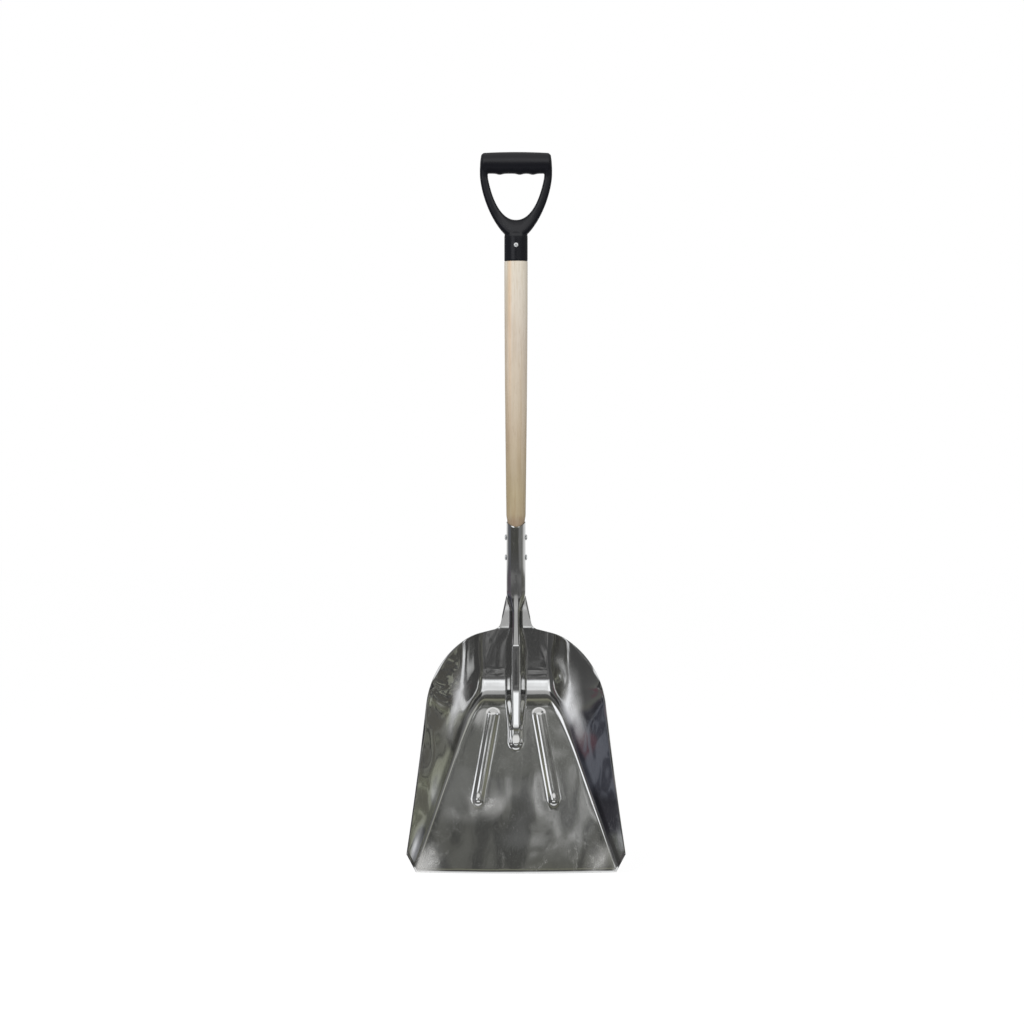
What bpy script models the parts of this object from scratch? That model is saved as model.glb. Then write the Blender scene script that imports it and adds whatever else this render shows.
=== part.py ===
"""Grain scoop shovel: a pressed stainless pan and socket, a tapered wooden shaft and a moulded D-grip.

The shaft stands along Z, with the pan at the bottom and the grip at the top. The pan opens towards -Y.
Shapes are worked out in millimetres about the shaft's axis, with the lip's middle at height 0. Each mesh is
then scaled to metres and moved so the origin is at the middle of the bottom of the whole tool's box.
"""

import math

import bmesh
import bpy
from mathutils import Matrix, Vector

MM = 0.001
ROUND = 32  # segments round the shaft and the grip's tube
ROUND_SMALL = 16  # segments round the fasteners and the grip's bar
SHAFT_Y = 4.3  # the shaft's axis, in the finished part
LIP_Z = 0.2  # the middle of the lip's sheet, in the finished part

# Overall
SHEET = 1.2  # thickness of the stainless sheet
GAP = 0.3  # clearance left between neighbouring pieces

# Pan outline, seen along Y
PAN_HALF_WIDTH = 173.6  # at the front corners
CORNER_HEIGHT = 31.0  # of the front corners above the lip
SIDE_LEAN = math.radians(8.4)
SIDE_LENGTH = 238.2
SIDE_HOLLOW_RADIUS = 6620.0  # the sides are very slightly hollow
SIDE_ARC_RADIUS = 142.3
SIDE_ARC = math.radians(48.0)
SHOULDER_ARC_RADIUS = 79.8
SHOULDER_SLOPE = math.radians(14.3)
SHOULDER_LENGTH = 23.8
NECK_FILLET = 14.0
WING_LEAN = math.radians(12.5)

# Pan floor and walls
LIP_Y = -50.0
LIP_BOW = 2.0  # how much higher the lip is at its ends
LIP_BOW_FADE = 60.0  # height at which the rows are straight again
LIP_HALF_WIDTH = 159.0
FLOOR_TILT = math.radians(20.0)  # from the shaft's axis
HEEL_Z = 290.0  # where the floor bends up into the back wall
HEEL_HALF_WIDTH = 59.0
HEEL_DROP = 28.0  # how much lower the heel bend runs in the corners
HEEL_SAG_IN = (50.0, 92.0)  # from the middle, where that sag sets in
HEEL_SAG_OUT = (95.0, 185.0)  # and where it fades again
HEEL_BLEND = 34.0
CORNER_POWER = 1.6  # 1 would add the side's and the back's slopes, 2 joins them round
CREASE_LEAN = math.radians(19.65)
CREASE_BLEND = 4.0
CREASE_BLEND_GROWTH = 12.0  # extra blend at the heel
FLOOR_SHARE = 0.80  # the most of the rim's half width that lies inside the crease, above the heel
SIDE_SLOPE = 0.87
BACK_SLOPE = 0.906

# Neck, between the back wall and the socket
NECK_Z = 396.0
NECK_Y = 2.0
NECK_RAKE = 0.045
NECK_BLEND = 0.4
NECK_BLEND_START = 40.0  # above the heel, where that blend is full
NECK_FLAT_HALF_WIDTH = 26.0
NECK_FALL = 0.024  # per mm, how fast the flat falls away beside the neck

# Central ridge, from the socket into the floor
RIDGE_END_Z = 204.5
RIDGE_NOSE_WIDTH = 13.5  # half widths along the ridge
RIDGE_HEEL_WIDTH = 17.5
RIDGE_NECK_WIDTH = 10.5
RIDGE_NARROW_Z = 402.0  # the ridge widens from here
RIDGE_WIDE_Z = 345.0  # down to here
RIDGE_NOSE_Z = 220.0  # and narrows again from the heel down to here
RIDGE_NOSE_HEIGHT = 5.0
RIDGE_FLAT = 0.26  # share of a rib's half width that is its flat top
NOSE_BUMP = 1.6  # extra height where a rib ends
NOSE_BUMP_SPREAD = 7.0
NOSE_BUMP_BACK = 3.0  # the ridge's bump is this far before its end
SIDE_RIB_BUMP = 0.6  # share of that bump at the foot of each side rib
CREST_TOP_Z = 446.0
CREST_BREAK_Z = 360.0
CREST_BREAK_BLEND = 1.0
CREST_HEEL_Z = 288.0
CREST_HEEL_BLEND = 9.0
CREST_FOOT_BLEND = 7.0
CREST_TOP_SLOPE = 0.05  # above the break
CREST_BACK_SLOPE = 0.36  # from the break to the heel
CREST_HEEL_SLOPE = 0.19  # from the heel to the floor

# Side ribs in the floor
SIDE_RIB_TOP = Vector((37.0, 247.0))
SIDE_RIB_FOOT = Vector((60.5, 114.5))
SIDE_RIB_HALF_WIDTH = 11.5
SIDE_RIB_HEIGHT = 3.7
SIDE_RIB_FLAT = 0.12

# Socket
SOCKET_RADIUS = 14.9  # middle of the sheet
WING_FLAT_Z = 402.0  # from here the sheet beyond the wing's straight edge is turned back
WING_FOLD_RADIUS = 2.5
WING_FOLD_EASE = 6.0  # height over which the fold sets in
SOCKET_ROUND_Z = 464.0  # and is closed round the shaft here
SOCKET_CLOSING = 16.0  # height over which the last of it closes
RIDGE_START_Z = 412.0  # the ridge widens into the socket's front from here
RIDGE_ROUND_Z = 447.0  # up to here
SOCKET_TOP_Z = 554.0
RIDGE_TURN = math.radians(88.0)  # how far round the socket the ridge's sheet reaches
SEAM_ANGLE = math.radians(174.0)  # from the front to each edge of the seam
MOUTH_DIP = 4.0  # the mouth is lower by this at the front and the seam, and higher at the sides
MOUTH_DEPTH = 28.0  # the socket's rows start to dip this far below its mouth

# Shaft
SHAFT_FOOT_Z = 460.0
SHAFT_SOCKET_RADIUS = 14.0
SHAFT_LOW_RADIUS = 15.3
SHAFT_HIGH_RADIUS = 18.6
SHAFT_SWELL = 11.0  # length over which the shaft swells out above the socket's mouth
TENON_RADIUS = 16.7

# Grip
GRIP_FOOT_Z = 975.0
GRIP_TUBE_RADIUS = 18.7
BORE_RADIUS = TENON_RADIUS + GAP
BORE_TOP_Z = 1010.0
LOOP_SHOULDER_Z = 1113.2  # where the loop is widest
LOOP_BOTTOM_Z = 1007.1
LOOP_HALF_WIDTH = 57.8
LOOP_POWER = 1.59
WINDOW_CENTRE_Z = 1172.2
WINDOW_BOTTOM_Z = 1041.2
WINDOW_HALF_WIDTH = 50.2
WINDOW_POWER = 2.155
WINDOW_TURN = 0.693  # share of a quarter turn that the window's curve uses before the bar
BAR_Z = 1132.2
BAR_RADIUS_Z = 17.7
BAR_RADIUS_Y = 15.5
BAR_HALF_LENGTH = 54.5
BAR_END = 3.0  # length over which each end of the bar is rounded in
BAR_END_SHARE = 0.10  # by this share of its radius
BAR_CROWN = 1.6  # how much lower the bar's top is at its ends
BAR_FLAT = 0.7  # how much shallower its underside is
FINGER_RIDGES = (-26.0, 6.0, 27.0)
FINGER_RIDGE_HEIGHT = 1.8
FINGER_RIDGE_SPREAD = 5.5
ARM_HALF_DEPTH = 10.0
ARM_SQUARENESS = 0.68  # 1 is an ellipse, 0 a rectangle
YOKE_EXTRA_DEPTH = 8.5  # outside, where the loop meets the tube
YOKE_TURNS = (0.1, 0.8)  # turn along the loop's outline over which the yoke thins into an arm
ARM_TOP = (  # inner x and z, outer x and z, half depth, where each arm runs up into the bar
    (45.2, 1114.0, 57.9, 1122.0, 11.0),
    (44.5, 1120.0, 57.2, 1135.0, 13.5),
    (42.0, 1126.0, 55.7, 1145.0, 13.0),
    (36.0, 1128.0, 51.5, 1147.5, 10.0),
    (12.0, 1126.0, 12.0, 1142.0, 10.0),
)

# Fasteners
RIVET_HEIGHTS = {"socket_rivet_upper": 533.0, "socket_rivet_lower": 501.0}
RIVET_RADIUS = 2.5
RIVET_HEAD_RADIUS = 4.75
RIVET_HEAD_HEIGHT = 2.4
SCREW_Z = 1000.0
SCREW_RADIUS = 2.0
SCREW_HEAD_RADIUS = 3.8
SCREW_HEAD_HEIGHT = 2.2
SCREW_LENGTH = 28.0
SCREW_POINT = 5.0
RECESS_ARM = 1.9
RECESS_HALF_WIDTH = 0.36


# ---------------------------------------------------------------- helpers


def clear_scene():
    for obj in list(bpy.data.objects):
        bpy.data.objects.remove(obj)


def material(name, colour, roughness, metallic):
    made = bpy.data.materials.new(name)
    made.use_nodes = True
    shader = made.node_tree.nodes["Principled BSDF"]
    shader.inputs["Base Color"].default_value = (*colour, 1.0)
    shader.inputs["Roughness"].default_value = roughness
    shader.inputs["Metallic"].default_value = metallic
    return made


def new_object(name, mesh_data, finish=None):
    mesh = bpy.data.meshes.new(name)
    mesh_data.to_mesh(mesh)
    mesh_data.free()
    mesh.transform(Matrix.Scale(MM, 4) @ Matrix.Translation((0, SHAFT_Y, LIP_Z)))
    mesh.shade_smooth()
    mesh.set_sharp_from_angle(angle=math.radians(35))
    obj = bpy.data.objects.new(name, mesh)
    bpy.context.scene.collection.objects.link(obj)
    if finish:
        mesh.materials.append(finish)
    return obj


def loft(rings, close_ends=True, close_loop=False):
    """A bmesh through rings of points, each ring listed the same way round."""
    bm = bmesh.new()
    made = [[bm.verts.new(point) for point in ring] for ring in rings]
    pairs = list(zip(made, made[1:]))
    if close_loop:
        pairs.append((made[-1], made[0]))
    for lower, upper in pairs:
        for i in range(len(lower)):
            j = (i + 1) % len(lower)
            bm.faces.new((lower[i], lower[j], upper[j], upper[i]))
    if close_ends:
        bm.faces.new(reversed(made[0]))
        bm.faces.new(made[-1])
    bmesh.ops.recalc_face_normals(bm, faces=bm.faces)
    return bm


def circle(radius, z, segments):
    turns = [2 * math.pi * i / segments for i in range(segments)]
    return [(radius * math.cos(a), radius * math.sin(a), z) for a in turns]


def turned(profile, segments):
    """A solid of revolution about Z through (radius, z) pairs, from the bottom up."""
    return loft([circle(radius, z, segments) for radius, z in profile])


def cutter(name, mesh_data):
    obj = new_object(name, mesh_data)
    obj.hide_render = True
    obj.display_type = "WIRE"
    return obj


def boolean(obj, other, operation):
    modifier = obj.modifiers.new(operation.lower() + "_" + other.name, "BOOLEAN")
    modifier.operation = operation
    modifier.object = other


def ramp(distance, blend):
    """Zero, then a parabola from -blend to blend, then the distance itself."""
    if distance <= -blend:
        return 0.0
    if distance >= blend:
        return distance
    return (distance + blend) ** 2 / (4 * blend)


def smoothstep(low, high, value):
    t = min(1.0, max(0.0, (value - low) / (high - low)))
    return t * t * (3 - 2 * t)


def mix(low, high, share):
    return low * (1 - share) + high * share


def steps(low, high, count):
    """count values after low, evenly up to high."""
    return [low + (high - low) * (i + 1) / count for i in range(count)]


# ---------------------------------------------------------------- blade


SIDE_HEADING = math.pi / 2 + SIDE_LEAN
ARC_HEADING = SIDE_HEADING - SIDE_LENGTH / SIDE_HOLLOW_RADIUS + SIDE_ARC
SHOULDER_HEADING = math.pi - SHOULDER_SLOPE
WING_HEADING = math.pi / 2 + WING_LEAN
RIM_PIECES = (  # (length, bend) from the front corner: side, two arcs, shoulder, neck fillet
    (SIDE_LENGTH, -1 / SIDE_HOLLOW_RADIUS),
    (SIDE_ARC_RADIUS * SIDE_ARC, 1 / SIDE_ARC_RADIUS),
    (SHOULDER_ARC_RADIUS * (SHOULDER_HEADING - ARC_HEADING), 1 / SHOULDER_ARC_RADIUS),
    (SHOULDER_LENGTH, 0.0),
    (NECK_FILLET * (SHOULDER_HEADING - WING_HEADING), -1 / NECK_FILLET),
)
RIM_TO_NECK = sum(length for length, bend in RIM_PIECES)


def rim_point(distance):
    """The rim's (x, z), this far along it from the front corner; the wing's straight edge comes last."""
    heading = SIDE_HEADING
    x, z = PAN_HALF_WIDTH, CORNER_HEIGHT
    for length, bend in RIM_PIECES + ((math.inf, 0.0),):
        run = min(distance, length)
        if bend:
            turned_heading = heading + run * bend
            x += (math.sin(turned_heading) - math.sin(heading)) / bend
            z -= (math.cos(turned_heading) - math.cos(heading)) / bend
            heading = turned_heading
        else:
            x += run * math.cos(heading)
            z += run * math.sin(heading)
        distance -= run
        if distance <= 0:
            break
    return x, z


def crease_x(z):
    """Half width of the floor at height z; straight up above the heel."""
    return HEEL_HALF_WIDTH + math.tan(CREASE_LEAN) * max(0.0, HEEL_Z - z)


def crease_blend(z):
    """The crease is tight along the floor and opens out towards the heel."""
    return CREASE_BLEND + CREASE_BLEND_GROWTH * smoothstep(HEEL_Z - 100, HEEL_Z + 10, z)


def heel_z(x):
    """The heel bend sags in both corners of the pan."""
    return HEEL_Z - HEEL_DROP * (smoothstep(*HEEL_SAG_IN, abs(x)) - smoothstep(*HEEL_SAG_OUT, abs(x)))


def rib_profile(share, flat):
    """Height of a pressed rib, 1 on its flat top to 0 at its edge."""
    if share >= 1:
        return 0.0
    if share <= flat:
        return 1.0
    return 0.5 * (1 + math.cos(math.pi * (share - flat) / (1 - flat)))


def nose_bump(distance):
    return NOSE_BUMP * math.exp(-((distance / NOSE_BUMP_SPREAD) ** 2))


def ridge_half_width(z):
    from_neck = (RIDGE_HEEL_WIDTH - RIDGE_NECK_WIDTH) * smoothstep(RIDGE_NARROW_Z, RIDGE_WIDE_Z, z)
    to_nose = (RIDGE_HEEL_WIDTH - RIDGE_NOSE_WIDTH) * smoothstep(HEEL_Z, RIDGE_NOSE_Z, z)
    return RIDGE_NECK_WIDTH + from_neck - to_nose


def floor_y(z):
    return LIP_Y + math.tan(FLOOR_TILT) * z


CREST_BREAK_Y = CREST_TOP_SLOPE * (CREST_TOP_Z - CREST_BREAK_Z) - SOCKET_RADIUS
CREST_HEEL_Y = CREST_BREAK_Y + CREST_BACK_SLOPE * (CREST_BREAK_Z - CREST_HEEL_Z)
CREST_FOOT_TURN = CREST_HEEL_SLOPE + math.tan(FLOOR_TILT)
CREST_FOOT_Z = (CREST_HEEL_Y + CREST_HEEL_SLOPE * CREST_HEEL_Z - LIP_Y + RIDGE_NOSE_HEIGHT) / CREST_FOOT_TURN


def crest_y(z):
    """The ridge's crest: down from the socket's front, back in two slopes, then along the floor."""
    y = CREST_TOP_SLOPE * max(0.0, CREST_TOP_Z - z) - SOCKET_RADIUS
    y += (CREST_BACK_SLOPE - CREST_TOP_SLOPE) * ramp(CREST_BREAK_Z - z, CREST_BREAK_BLEND)
    y -= (CREST_BACK_SLOPE - CREST_HEEL_SLOPE) * ramp(CREST_HEEL_Z - z, CREST_HEEL_BLEND)
    return y - CREST_FOOT_TURN * ramp(CREST_FOOT_Z - z, CREST_FOOT_BLEND)


def side_rib_rise(x, z):
    along = SIDE_RIB_FOOT - SIDE_RIB_TOP
    point = Vector((abs(x), z)) - SIDE_RIB_TOP
    share = min(1.0, max(0.0, point.dot(along) / along.length_squared))
    distance = (point - along * share).length
    height = SIDE_RIB_HEIGHT + SIDE_RIB_BUMP * nose_bump((point - along).length)
    return height * rib_profile(distance / SIDE_RIB_HALF_WIDTH, SIDE_RIB_FLAT)


def pan_y(x, z):
    """The sheet's middle surface over the pan and neck."""
    side = SIDE_SLOPE * ramp((abs(x) - crease_x(z)) * math.cos(CREASE_LEAN), crease_blend(z))
    back = BACK_SLOPE * ramp(z - heel_z(x), HEEL_BLEND)
    wall = floor_y(z) - (side**CORNER_POWER + back**CORNER_POWER) ** (1 / CORNER_POWER)
    beside_neck = max(0.0, abs(x) - NECK_FLAT_HALF_WIDTH)
    neck = NECK_Y - NECK_RAKE * (z - NECK_Z) - NECK_FALL * beside_neck**2
    if z > HEEL_Z:
        rounding = NECK_BLEND * smoothstep(HEEL_Z, HEEL_Z + NECK_BLEND_START, z)
        wall = (wall + neck + math.hypot(wall - neck, rounding)) / 2
    share = math.hypot(x, min(0.0, z - RIDGE_END_Z)) / ridge_half_width(z)
    ridge = wall - crest_y(z) + nose_bump(z - RIDGE_END_Z + NOSE_BUMP_BACK)
    return wall - ridge * rib_profile(share, RIDGE_FLAT) - side_rib_rise(x, z)


RIDGE_SHARES = (0.0, 0.26, 0.45, 0.64, 0.82, 1.0)
RIB_SHARES = (0.12, 0.56, 1.0)


def row_points(z_middle):
    """(x, z) of one row of the sheet's grid, from the middle out to the rim."""
    if z_middle <= NECK_Z:
        rim_x, rim_z = rim_point(z_middle * RIM_TO_NECK / NECK_Z)
    else:
        rim_x, rim_z = rim_point(RIM_TO_NECK + (z_middle - NECK_Z) / math.cos(WING_LEAN))
    crease = min(crease_x(z_middle), LIP_HALF_WIDTH)
    if z_middle > HEEL_Z:
        crease = min(crease, FLOOR_SHARE * rim_x)
    ridge = ridge_half_width(z_middle)
    blend_in = min(crease_blend(z_middle), 0.3 * (crease - ridge))
    blend_out = min(crease_blend(z_middle), 0.3 * (rim_x - crease))
    floor_edge = crease - blend_in
    room = floor_edge - ridge
    along = (z_middle - SIDE_RIB_FOOT.y) / (SIDE_RIB_TOP.y - SIDE_RIB_FOOT.y)
    rib = mix(SIDE_RIB_FOOT.x, SIDE_RIB_TOP.x, min(1.0, max(0.0, along)))
    rib = min(rib, ridge + 0.5 * room)
    reach = min(SIDE_RIB_HALF_WIDTH, 0.3 * room, 0.8 * (floor_edge - rib))
    xs = [share * ridge for share in RIDGE_SHARES]
    xs += [rib - share * reach for share in reversed(RIB_SHARES)]
    xs += [rib + share * reach for share in RIB_SHARES]
    xs += [0.5 * (rib + reach + floor_edge), floor_edge, crease, crease + blend_out]
    xs += steps(crease + blend_out, rim_x, 3)
    row = []
    bow = LIP_BOW * (1 - smoothstep(0.0, LIP_BOW_FADE, z_middle))
    for x in xs:
        outside = max(0.0, (x - crease) / (rim_x - crease))
        z = z_middle + bow * min(1.0, x / crease) ** 2
        row.append(Vector((x, 0, mix(z, rim_z, outside))))
    return row


def socket_turn(i, count):
    """How far round the socket the sheet's i-th point of count lies."""
    ridge = len(RIDGE_SHARES) - 1
    if i <= ridge:
        return RIDGE_TURN * i / ridge
    return RIDGE_TURN + (SEAM_ANGLE - RIDGE_TURN) * (i - ridge) / (count - 1 - ridge)


def socket_row(z_middle, count):
    mouth = MOUTH_DIP * smoothstep(SOCKET_TOP_Z - MOUTH_DEPTH, SOCKET_TOP_Z, z_middle)
    row = []
    for i in range(count):
        turn = socket_turn(i, count)
        dip = mouth * math.cos(2 * turn)
        row.append(Vector((SOCKET_RADIUS * math.sin(turn), -SOCKET_RADIUS * math.cos(turn), z_middle - dip)))
    return row


def across(row):
    """Lengths and headings of the steps across a row, seen from above."""
    flat = [(b - a).xy for a, b in zip(row, row[1:])]
    return [step.length for step in flat], [math.atan2(step.y, step.x) for step in flat]


def wing_headings(z_middle, flat_width, lengths, low_headings, high_headings):
    """Headings across the sheet beyond the ridge.

    The wing stays flat as far as the rim, the rest of the sheet turns back there and curls round the shaft,
    and towards the top all of it closes into the socket.
    """
    flange_width = max(0.1, sum(lengths) - flat_width)
    fold_radius = max(0.01, min(WING_FOLD_RADIUS, flat_width / 2))
    eased = smoothstep(WING_FLAT_Z, WING_FLAT_Z + WING_FOLD_EASE, z_middle)
    closed = smoothstep(SOCKET_ROUND_Z - SOCKET_CLOSING, SOCKET_ROUND_Z, z_middle)
    headings = []
    beyond_ridge = 0.0
    for length, low, high in zip(lengths, low_headings, high_headings):
        past_fold = beyond_ridge + length / 2 - flat_width
        curl = mix(RIDGE_TURN, SEAM_ANGLE, min(1.0, max(0.0, past_fold / flange_width)))
        folded = eased * smoothstep(-fold_radius, fold_radius, past_fold)
        headings.append(mix(mix(low, curl, folded), high, closed))
        beyond_ridge += length
    return headings


def throat_row(pan, socket, z_middle):
    """A row between the pan's and the socket's, laid out step by step from the middle."""
    rounded = smoothstep(RIDGE_START_Z, RIDGE_ROUND_Z, z_middle)
    stretched = smoothstep(WING_FLAT_Z, SOCKET_ROUND_Z, z_middle)
    ridge = len(RIDGE_SHARES) - 1
    low_lengths, low = across(pan)
    high_lengths, high = across(socket)
    shares = [rounded] * ridge + [stretched] * (len(low) - ridge)
    lengths = [mix(*values) for values in zip(low_lengths, high_lengths, shares)]
    headings = [mix(*values) for values in zip(low[:ridge], high[:ridge], shares)]
    row = [pan[0].lerp(socket[0], rounded)]
    ridge_x = row[0].x + sum(length * math.cos(heading) for length, heading in zip(lengths, headings))
    flat_width = max(0.0, pan[-1].x - ridge_x)
    headings += wing_headings(z_middle, flat_width, lengths[ridge:], low[ridge:], high[ridge:])
    for i, (length, heading) in enumerate(zip(lengths, headings), start=1):
        x = row[-1].x + length * math.cos(heading)
        y = row[-1].y + length * math.sin(heading)
        row.append(Vector((x, y, mix(pan[i].z, socket[i].z, stretched))))
    return row


def sheet_row(z_middle):
    """One row of the sheet in space, the right half from the middle out."""
    pan = row_points(min(z_middle, SOCKET_ROUND_Z))
    for point in pan:
        point.y = pan_y(point.x, point.z)
    if z_middle <= WING_FLAT_Z:
        return pan
    socket = socket_row(z_middle, len(pan))
    if z_middle >= SOCKET_ROUND_Z:
        return socket
    return throat_row(pan, socket, z_middle)


def blade_rows():
    """Heights of the sheet's rows, closer together where the surface bends."""
    rows = [0.0]
    stretches = (
        (96.0, 2),
        (SIDE_RIB_FOOT.y - 7, 2),
        (SIDE_RIB_FOOT.y + 14, 3),
        (RIDGE_END_Z - 16, 2),
        (RIDGE_END_Z + 10, 6),
        (SIDE_RIB_TOP.y - 6, 3),
        (SIDE_RIB_TOP.y + 14, 3),
        (HEEL_Z + 36, 7),
        (CREST_BREAK_Z - 4, 3),
        (CREST_BREAK_Z + 4, 2),
        (NECK_Z - 20, 2),
        (NECK_Z, 4),
        (WING_FLAT_Z, 3),
        (SOCKET_ROUND_Z, 10),
        (SOCKET_TOP_Z - MOUTH_DEPTH, 1),
        (SOCKET_TOP_Z, 3),
    )
    for end, count in stretches:
        rows += steps(rows[-1], end, count)
    return rows


def make_blade(finish):
    bm = bmesh.new()
    grid = []
    for z_middle in blade_rows():
        right = sheet_row(z_middle)
        left = [Vector((-p.x, p.y, p.z)) for p in reversed(right[1:])]
        grid.append([bm.verts.new(point) for point in left + right])
    for lower, upper in zip(grid, grid[1:]):
        for i in range(len(lower) - 1):
            bm.faces.new((lower[i], lower[i + 1], upper[i + 1], upper[i]))
    blade = new_object("blade", bm, finish)
    thickness = blade.modifiers.new("sheet_thickness", "SOLIDIFY")
    thickness.thickness = SHEET * MM
    thickness.offset = 0.0
    thickness.use_even_offset = True
    for name, height in RIVET_HEIGHTS.items():
        boolean(blade, rivet_hole(name, height), "DIFFERENCE")
    return blade


# ---------------------------------------------------------------- rivets and screw


def lay_along_x(bm, height):
    """Turns a solid made about Z to lie along X at this height."""
    for vert in bm.verts:
        vert.co = Vector((vert.co.z, -vert.co.y, vert.co.x + height))
    return bm


def rivet_hole(name, height):
    found = bpy.data.objects.get(name + "_hole")
    if found:
        return found
    reach = SOCKET_RADIUS + 10
    radius = RIVET_RADIUS + GAP
    bm = lay_along_x(turned([(radius, -reach), (radius, reach)], ROUND_SMALL), height)
    return cutter(name + "_hole", bm)


def make_rivet(name, height, finish):
    seat = SOCKET_RADIUS + SHEET / 2 + GAP
    tip = seat + RIVET_HEAD_HEIGHT
    half = [(RIVET_RADIUS, seat)]
    for i in range(5):
        turn = i * math.pi / 2 / 5
        half.append((RIVET_HEAD_RADIUS * math.cos(turn), seat + RIVET_HEAD_HEIGHT * math.sin(turn)))
    half.append((0.6, tip))
    profile = [(radius, -z) for radius, z in reversed(half)] + half
    bm = lay_along_x(turned(profile, ROUND_SMALL), height)
    return new_object(name, bm, finish)


def lay_along_y(bm, height):
    """Turns a solid made about Z to point along -Y at this height."""
    for vert in bm.verts:
        vert.co = Vector((vert.co.x, -vert.co.z, vert.co.y + height))
    return bm


def screw_hole():
    radius = SCREW_RADIUS + GAP
    deepest = GRIP_TUBE_RADIUS - SCREW_LENGTH - 1
    bm = turned([(radius, deepest), (radius, GRIP_TUBE_RADIUS + 5)], ROUND_SMALL)
    return cutter("grip_screw_hole", lay_along_y(bm, SCREW_Z))


def make_screw(finish):
    seat = GRIP_TUBE_RADIUS + GAP
    tip = seat - SCREW_LENGTH
    profile = [
        (0.3, tip),
        (SCREW_RADIUS, tip + SCREW_POINT),
        (SCREW_RADIUS, seat),
        (SCREW_HEAD_RADIUS, seat),
        (SCREW_HEAD_RADIUS, seat + 0.5 * SCREW_HEAD_HEIGHT),
        (0.8 * SCREW_HEAD_RADIUS, seat + 0.85 * SCREW_HEAD_HEIGHT),
        (0.4 * SCREW_HEAD_RADIUS, seat + SCREW_HEAD_HEIGHT),
    ]
    screw = new_object("grip_screw", lay_along_y(turned(profile, ROUND_SMALL), SCREW_Z), finish)
    half = RECESS_HALF_WIDTH
    corner = ((RECESS_ARM, -half), (RECESS_ARM, half), (half, half))
    cross = []
    for quarter in range(4):
        turn = quarter * math.pi / 2
        for x, y in corner:
            cross.append((x * math.cos(turn) - y * math.sin(turn), x * math.sin(turn) + y * math.cos(turn)))
    floor = seat + 0.4 * SCREW_HEAD_HEIGHT
    slot = loft([[(x, y, z) for x, y in cross] for z in (floor, floor + 5)])
    recess = cutter("grip_screw_recess", lay_along_y(slot, SCREW_Z))
    boolean(screw, recess, "DIFFERENCE")
    return screw


# ---------------------------------------------------------------- shaft


def make_shaft(finish, screw_cut):
    taper_foot = SOCKET_TOP_Z + MOUTH_DIP
    profile = [
        (SHAFT_SOCKET_RADIUS - 3, SHAFT_FOOT_Z),
        (SHAFT_SOCKET_RADIUS, SHAFT_FOOT_Z + 6),
        (SHAFT_SOCKET_RADIUS, taper_foot + 0.5),
    ]
    heights = steps(taper_foot + 0.5, taper_foot + SHAFT_SWELL, 3)
    heights += steps(taper_foot + SHAFT_SWELL, GRIP_FOOT_Z - GAP, 12)
    for height in heights:
        swell = smoothstep(taper_foot, taper_foot + SHAFT_SWELL, height)
        along = (height - taper_foot) / (GRIP_FOOT_Z - taper_foot)
        radius = mix(SHAFT_LOW_RADIUS, SHAFT_HIGH_RADIUS, math.sin(along * math.pi / 2))
        profile.append((mix(SHAFT_SOCKET_RADIUS, radius, swell), height))
    profile += [
        (TENON_RADIUS, GRIP_FOOT_Z - GAP),
        (TENON_RADIUS, BORE_TOP_Z - 2),
        (TENON_RADIUS - 2, BORE_TOP_Z - GAP),
    ]
    shaft = new_object("shaft", turned(profile, ROUND), finish)
    for name, height in RIVET_HEIGHTS.items():
        boolean(shaft, rivet_hole(name, height), "DIFFERENCE")
    boolean(shaft, screw_cut, "DIFFERENCE")
    return shaft


# ---------------------------------------------------------------- grip


def superellipse(half_x, half_z, centre_z, power, turn):
    """A point (x, z) on the lower right quarter, turn 0 at the bottom and pi/2 at the widest."""
    x = half_x * math.sin(turn) ** (2 / power)
    z = centre_z - half_z * math.cos(turn) ** (2 / power)
    return Vector((x, 0, z))


def arm_section(inner, outer, inner_depth, outer_depth, segments):
    """A rounded section of the grip's loop; the depths are half depths at its inner and outer edge."""
    middle, across = (inner + outer) / 2, (outer - inner) / 2
    points = []
    for i in range(segments):
        turn = 2 * math.pi * (i + 0.5) / segments
        c, s = math.cos(turn), math.sin(turn)
        wide = math.copysign(abs(c) ** ARM_SQUARENESS, c)
        deep = math.copysign(abs(s) ** ARM_SQUARENESS, s)
        depth = inner_depth + (outer_depth - inner_depth) * (1 + wide) / 2
        points.append(middle + across * wide + Vector((0, depth * deep, 0)))
    return points


def grip_loop(stations, segments):
    """The arms and yoke as one closed loop, closed across the top inside the bar."""
    right = []
    for i in range(stations + 1):
        turn = math.pi / 2 * i / stations
        outer_half_height = LOOP_SHOULDER_Z - LOOP_BOTTOM_Z
        outer = superellipse(LOOP_HALF_WIDTH, outer_half_height, LOOP_SHOULDER_Z, LOOP_POWER, turn)
        inner_half_height = WINDOW_CENTRE_Z - WINDOW_BOTTOM_Z
        inner_turn = turn * WINDOW_TURN
        inner = superellipse(WINDOW_HALF_WIDTH, inner_half_height, WINDOW_CENTRE_Z, WINDOW_POWER, inner_turn)
        yoke = 1 - smoothstep(*YOKE_TURNS, turn)
        right.append((inner, outer, ARM_HALF_DEPTH + yoke, ARM_HALF_DEPTH + YOKE_EXTRA_DEPTH * yoke))
    for inner_x, inner_z, outer_x, outer_z, depth in ARM_TOP:
        right.append((Vector((inner_x, 0, inner_z)), Vector((outer_x, 0, outer_z)), depth, depth))
    left = [
        (Vector((-inner.x, 0, inner.z)), Vector((-outer.x, 0, outer.z)), *depths)
        for inner, outer, *depths in reversed(right[1:])
    ]
    return loft(
        [arm_section(*station, segments) for station in right + left],
        close_ends=False,
        close_loop=True,
    )


def finger_bumps(x):
    return sum(math.exp(-(((x - centre) / FINGER_RIDGE_SPREAD) ** 2)) for centre in FINGER_RIDGES)


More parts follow.
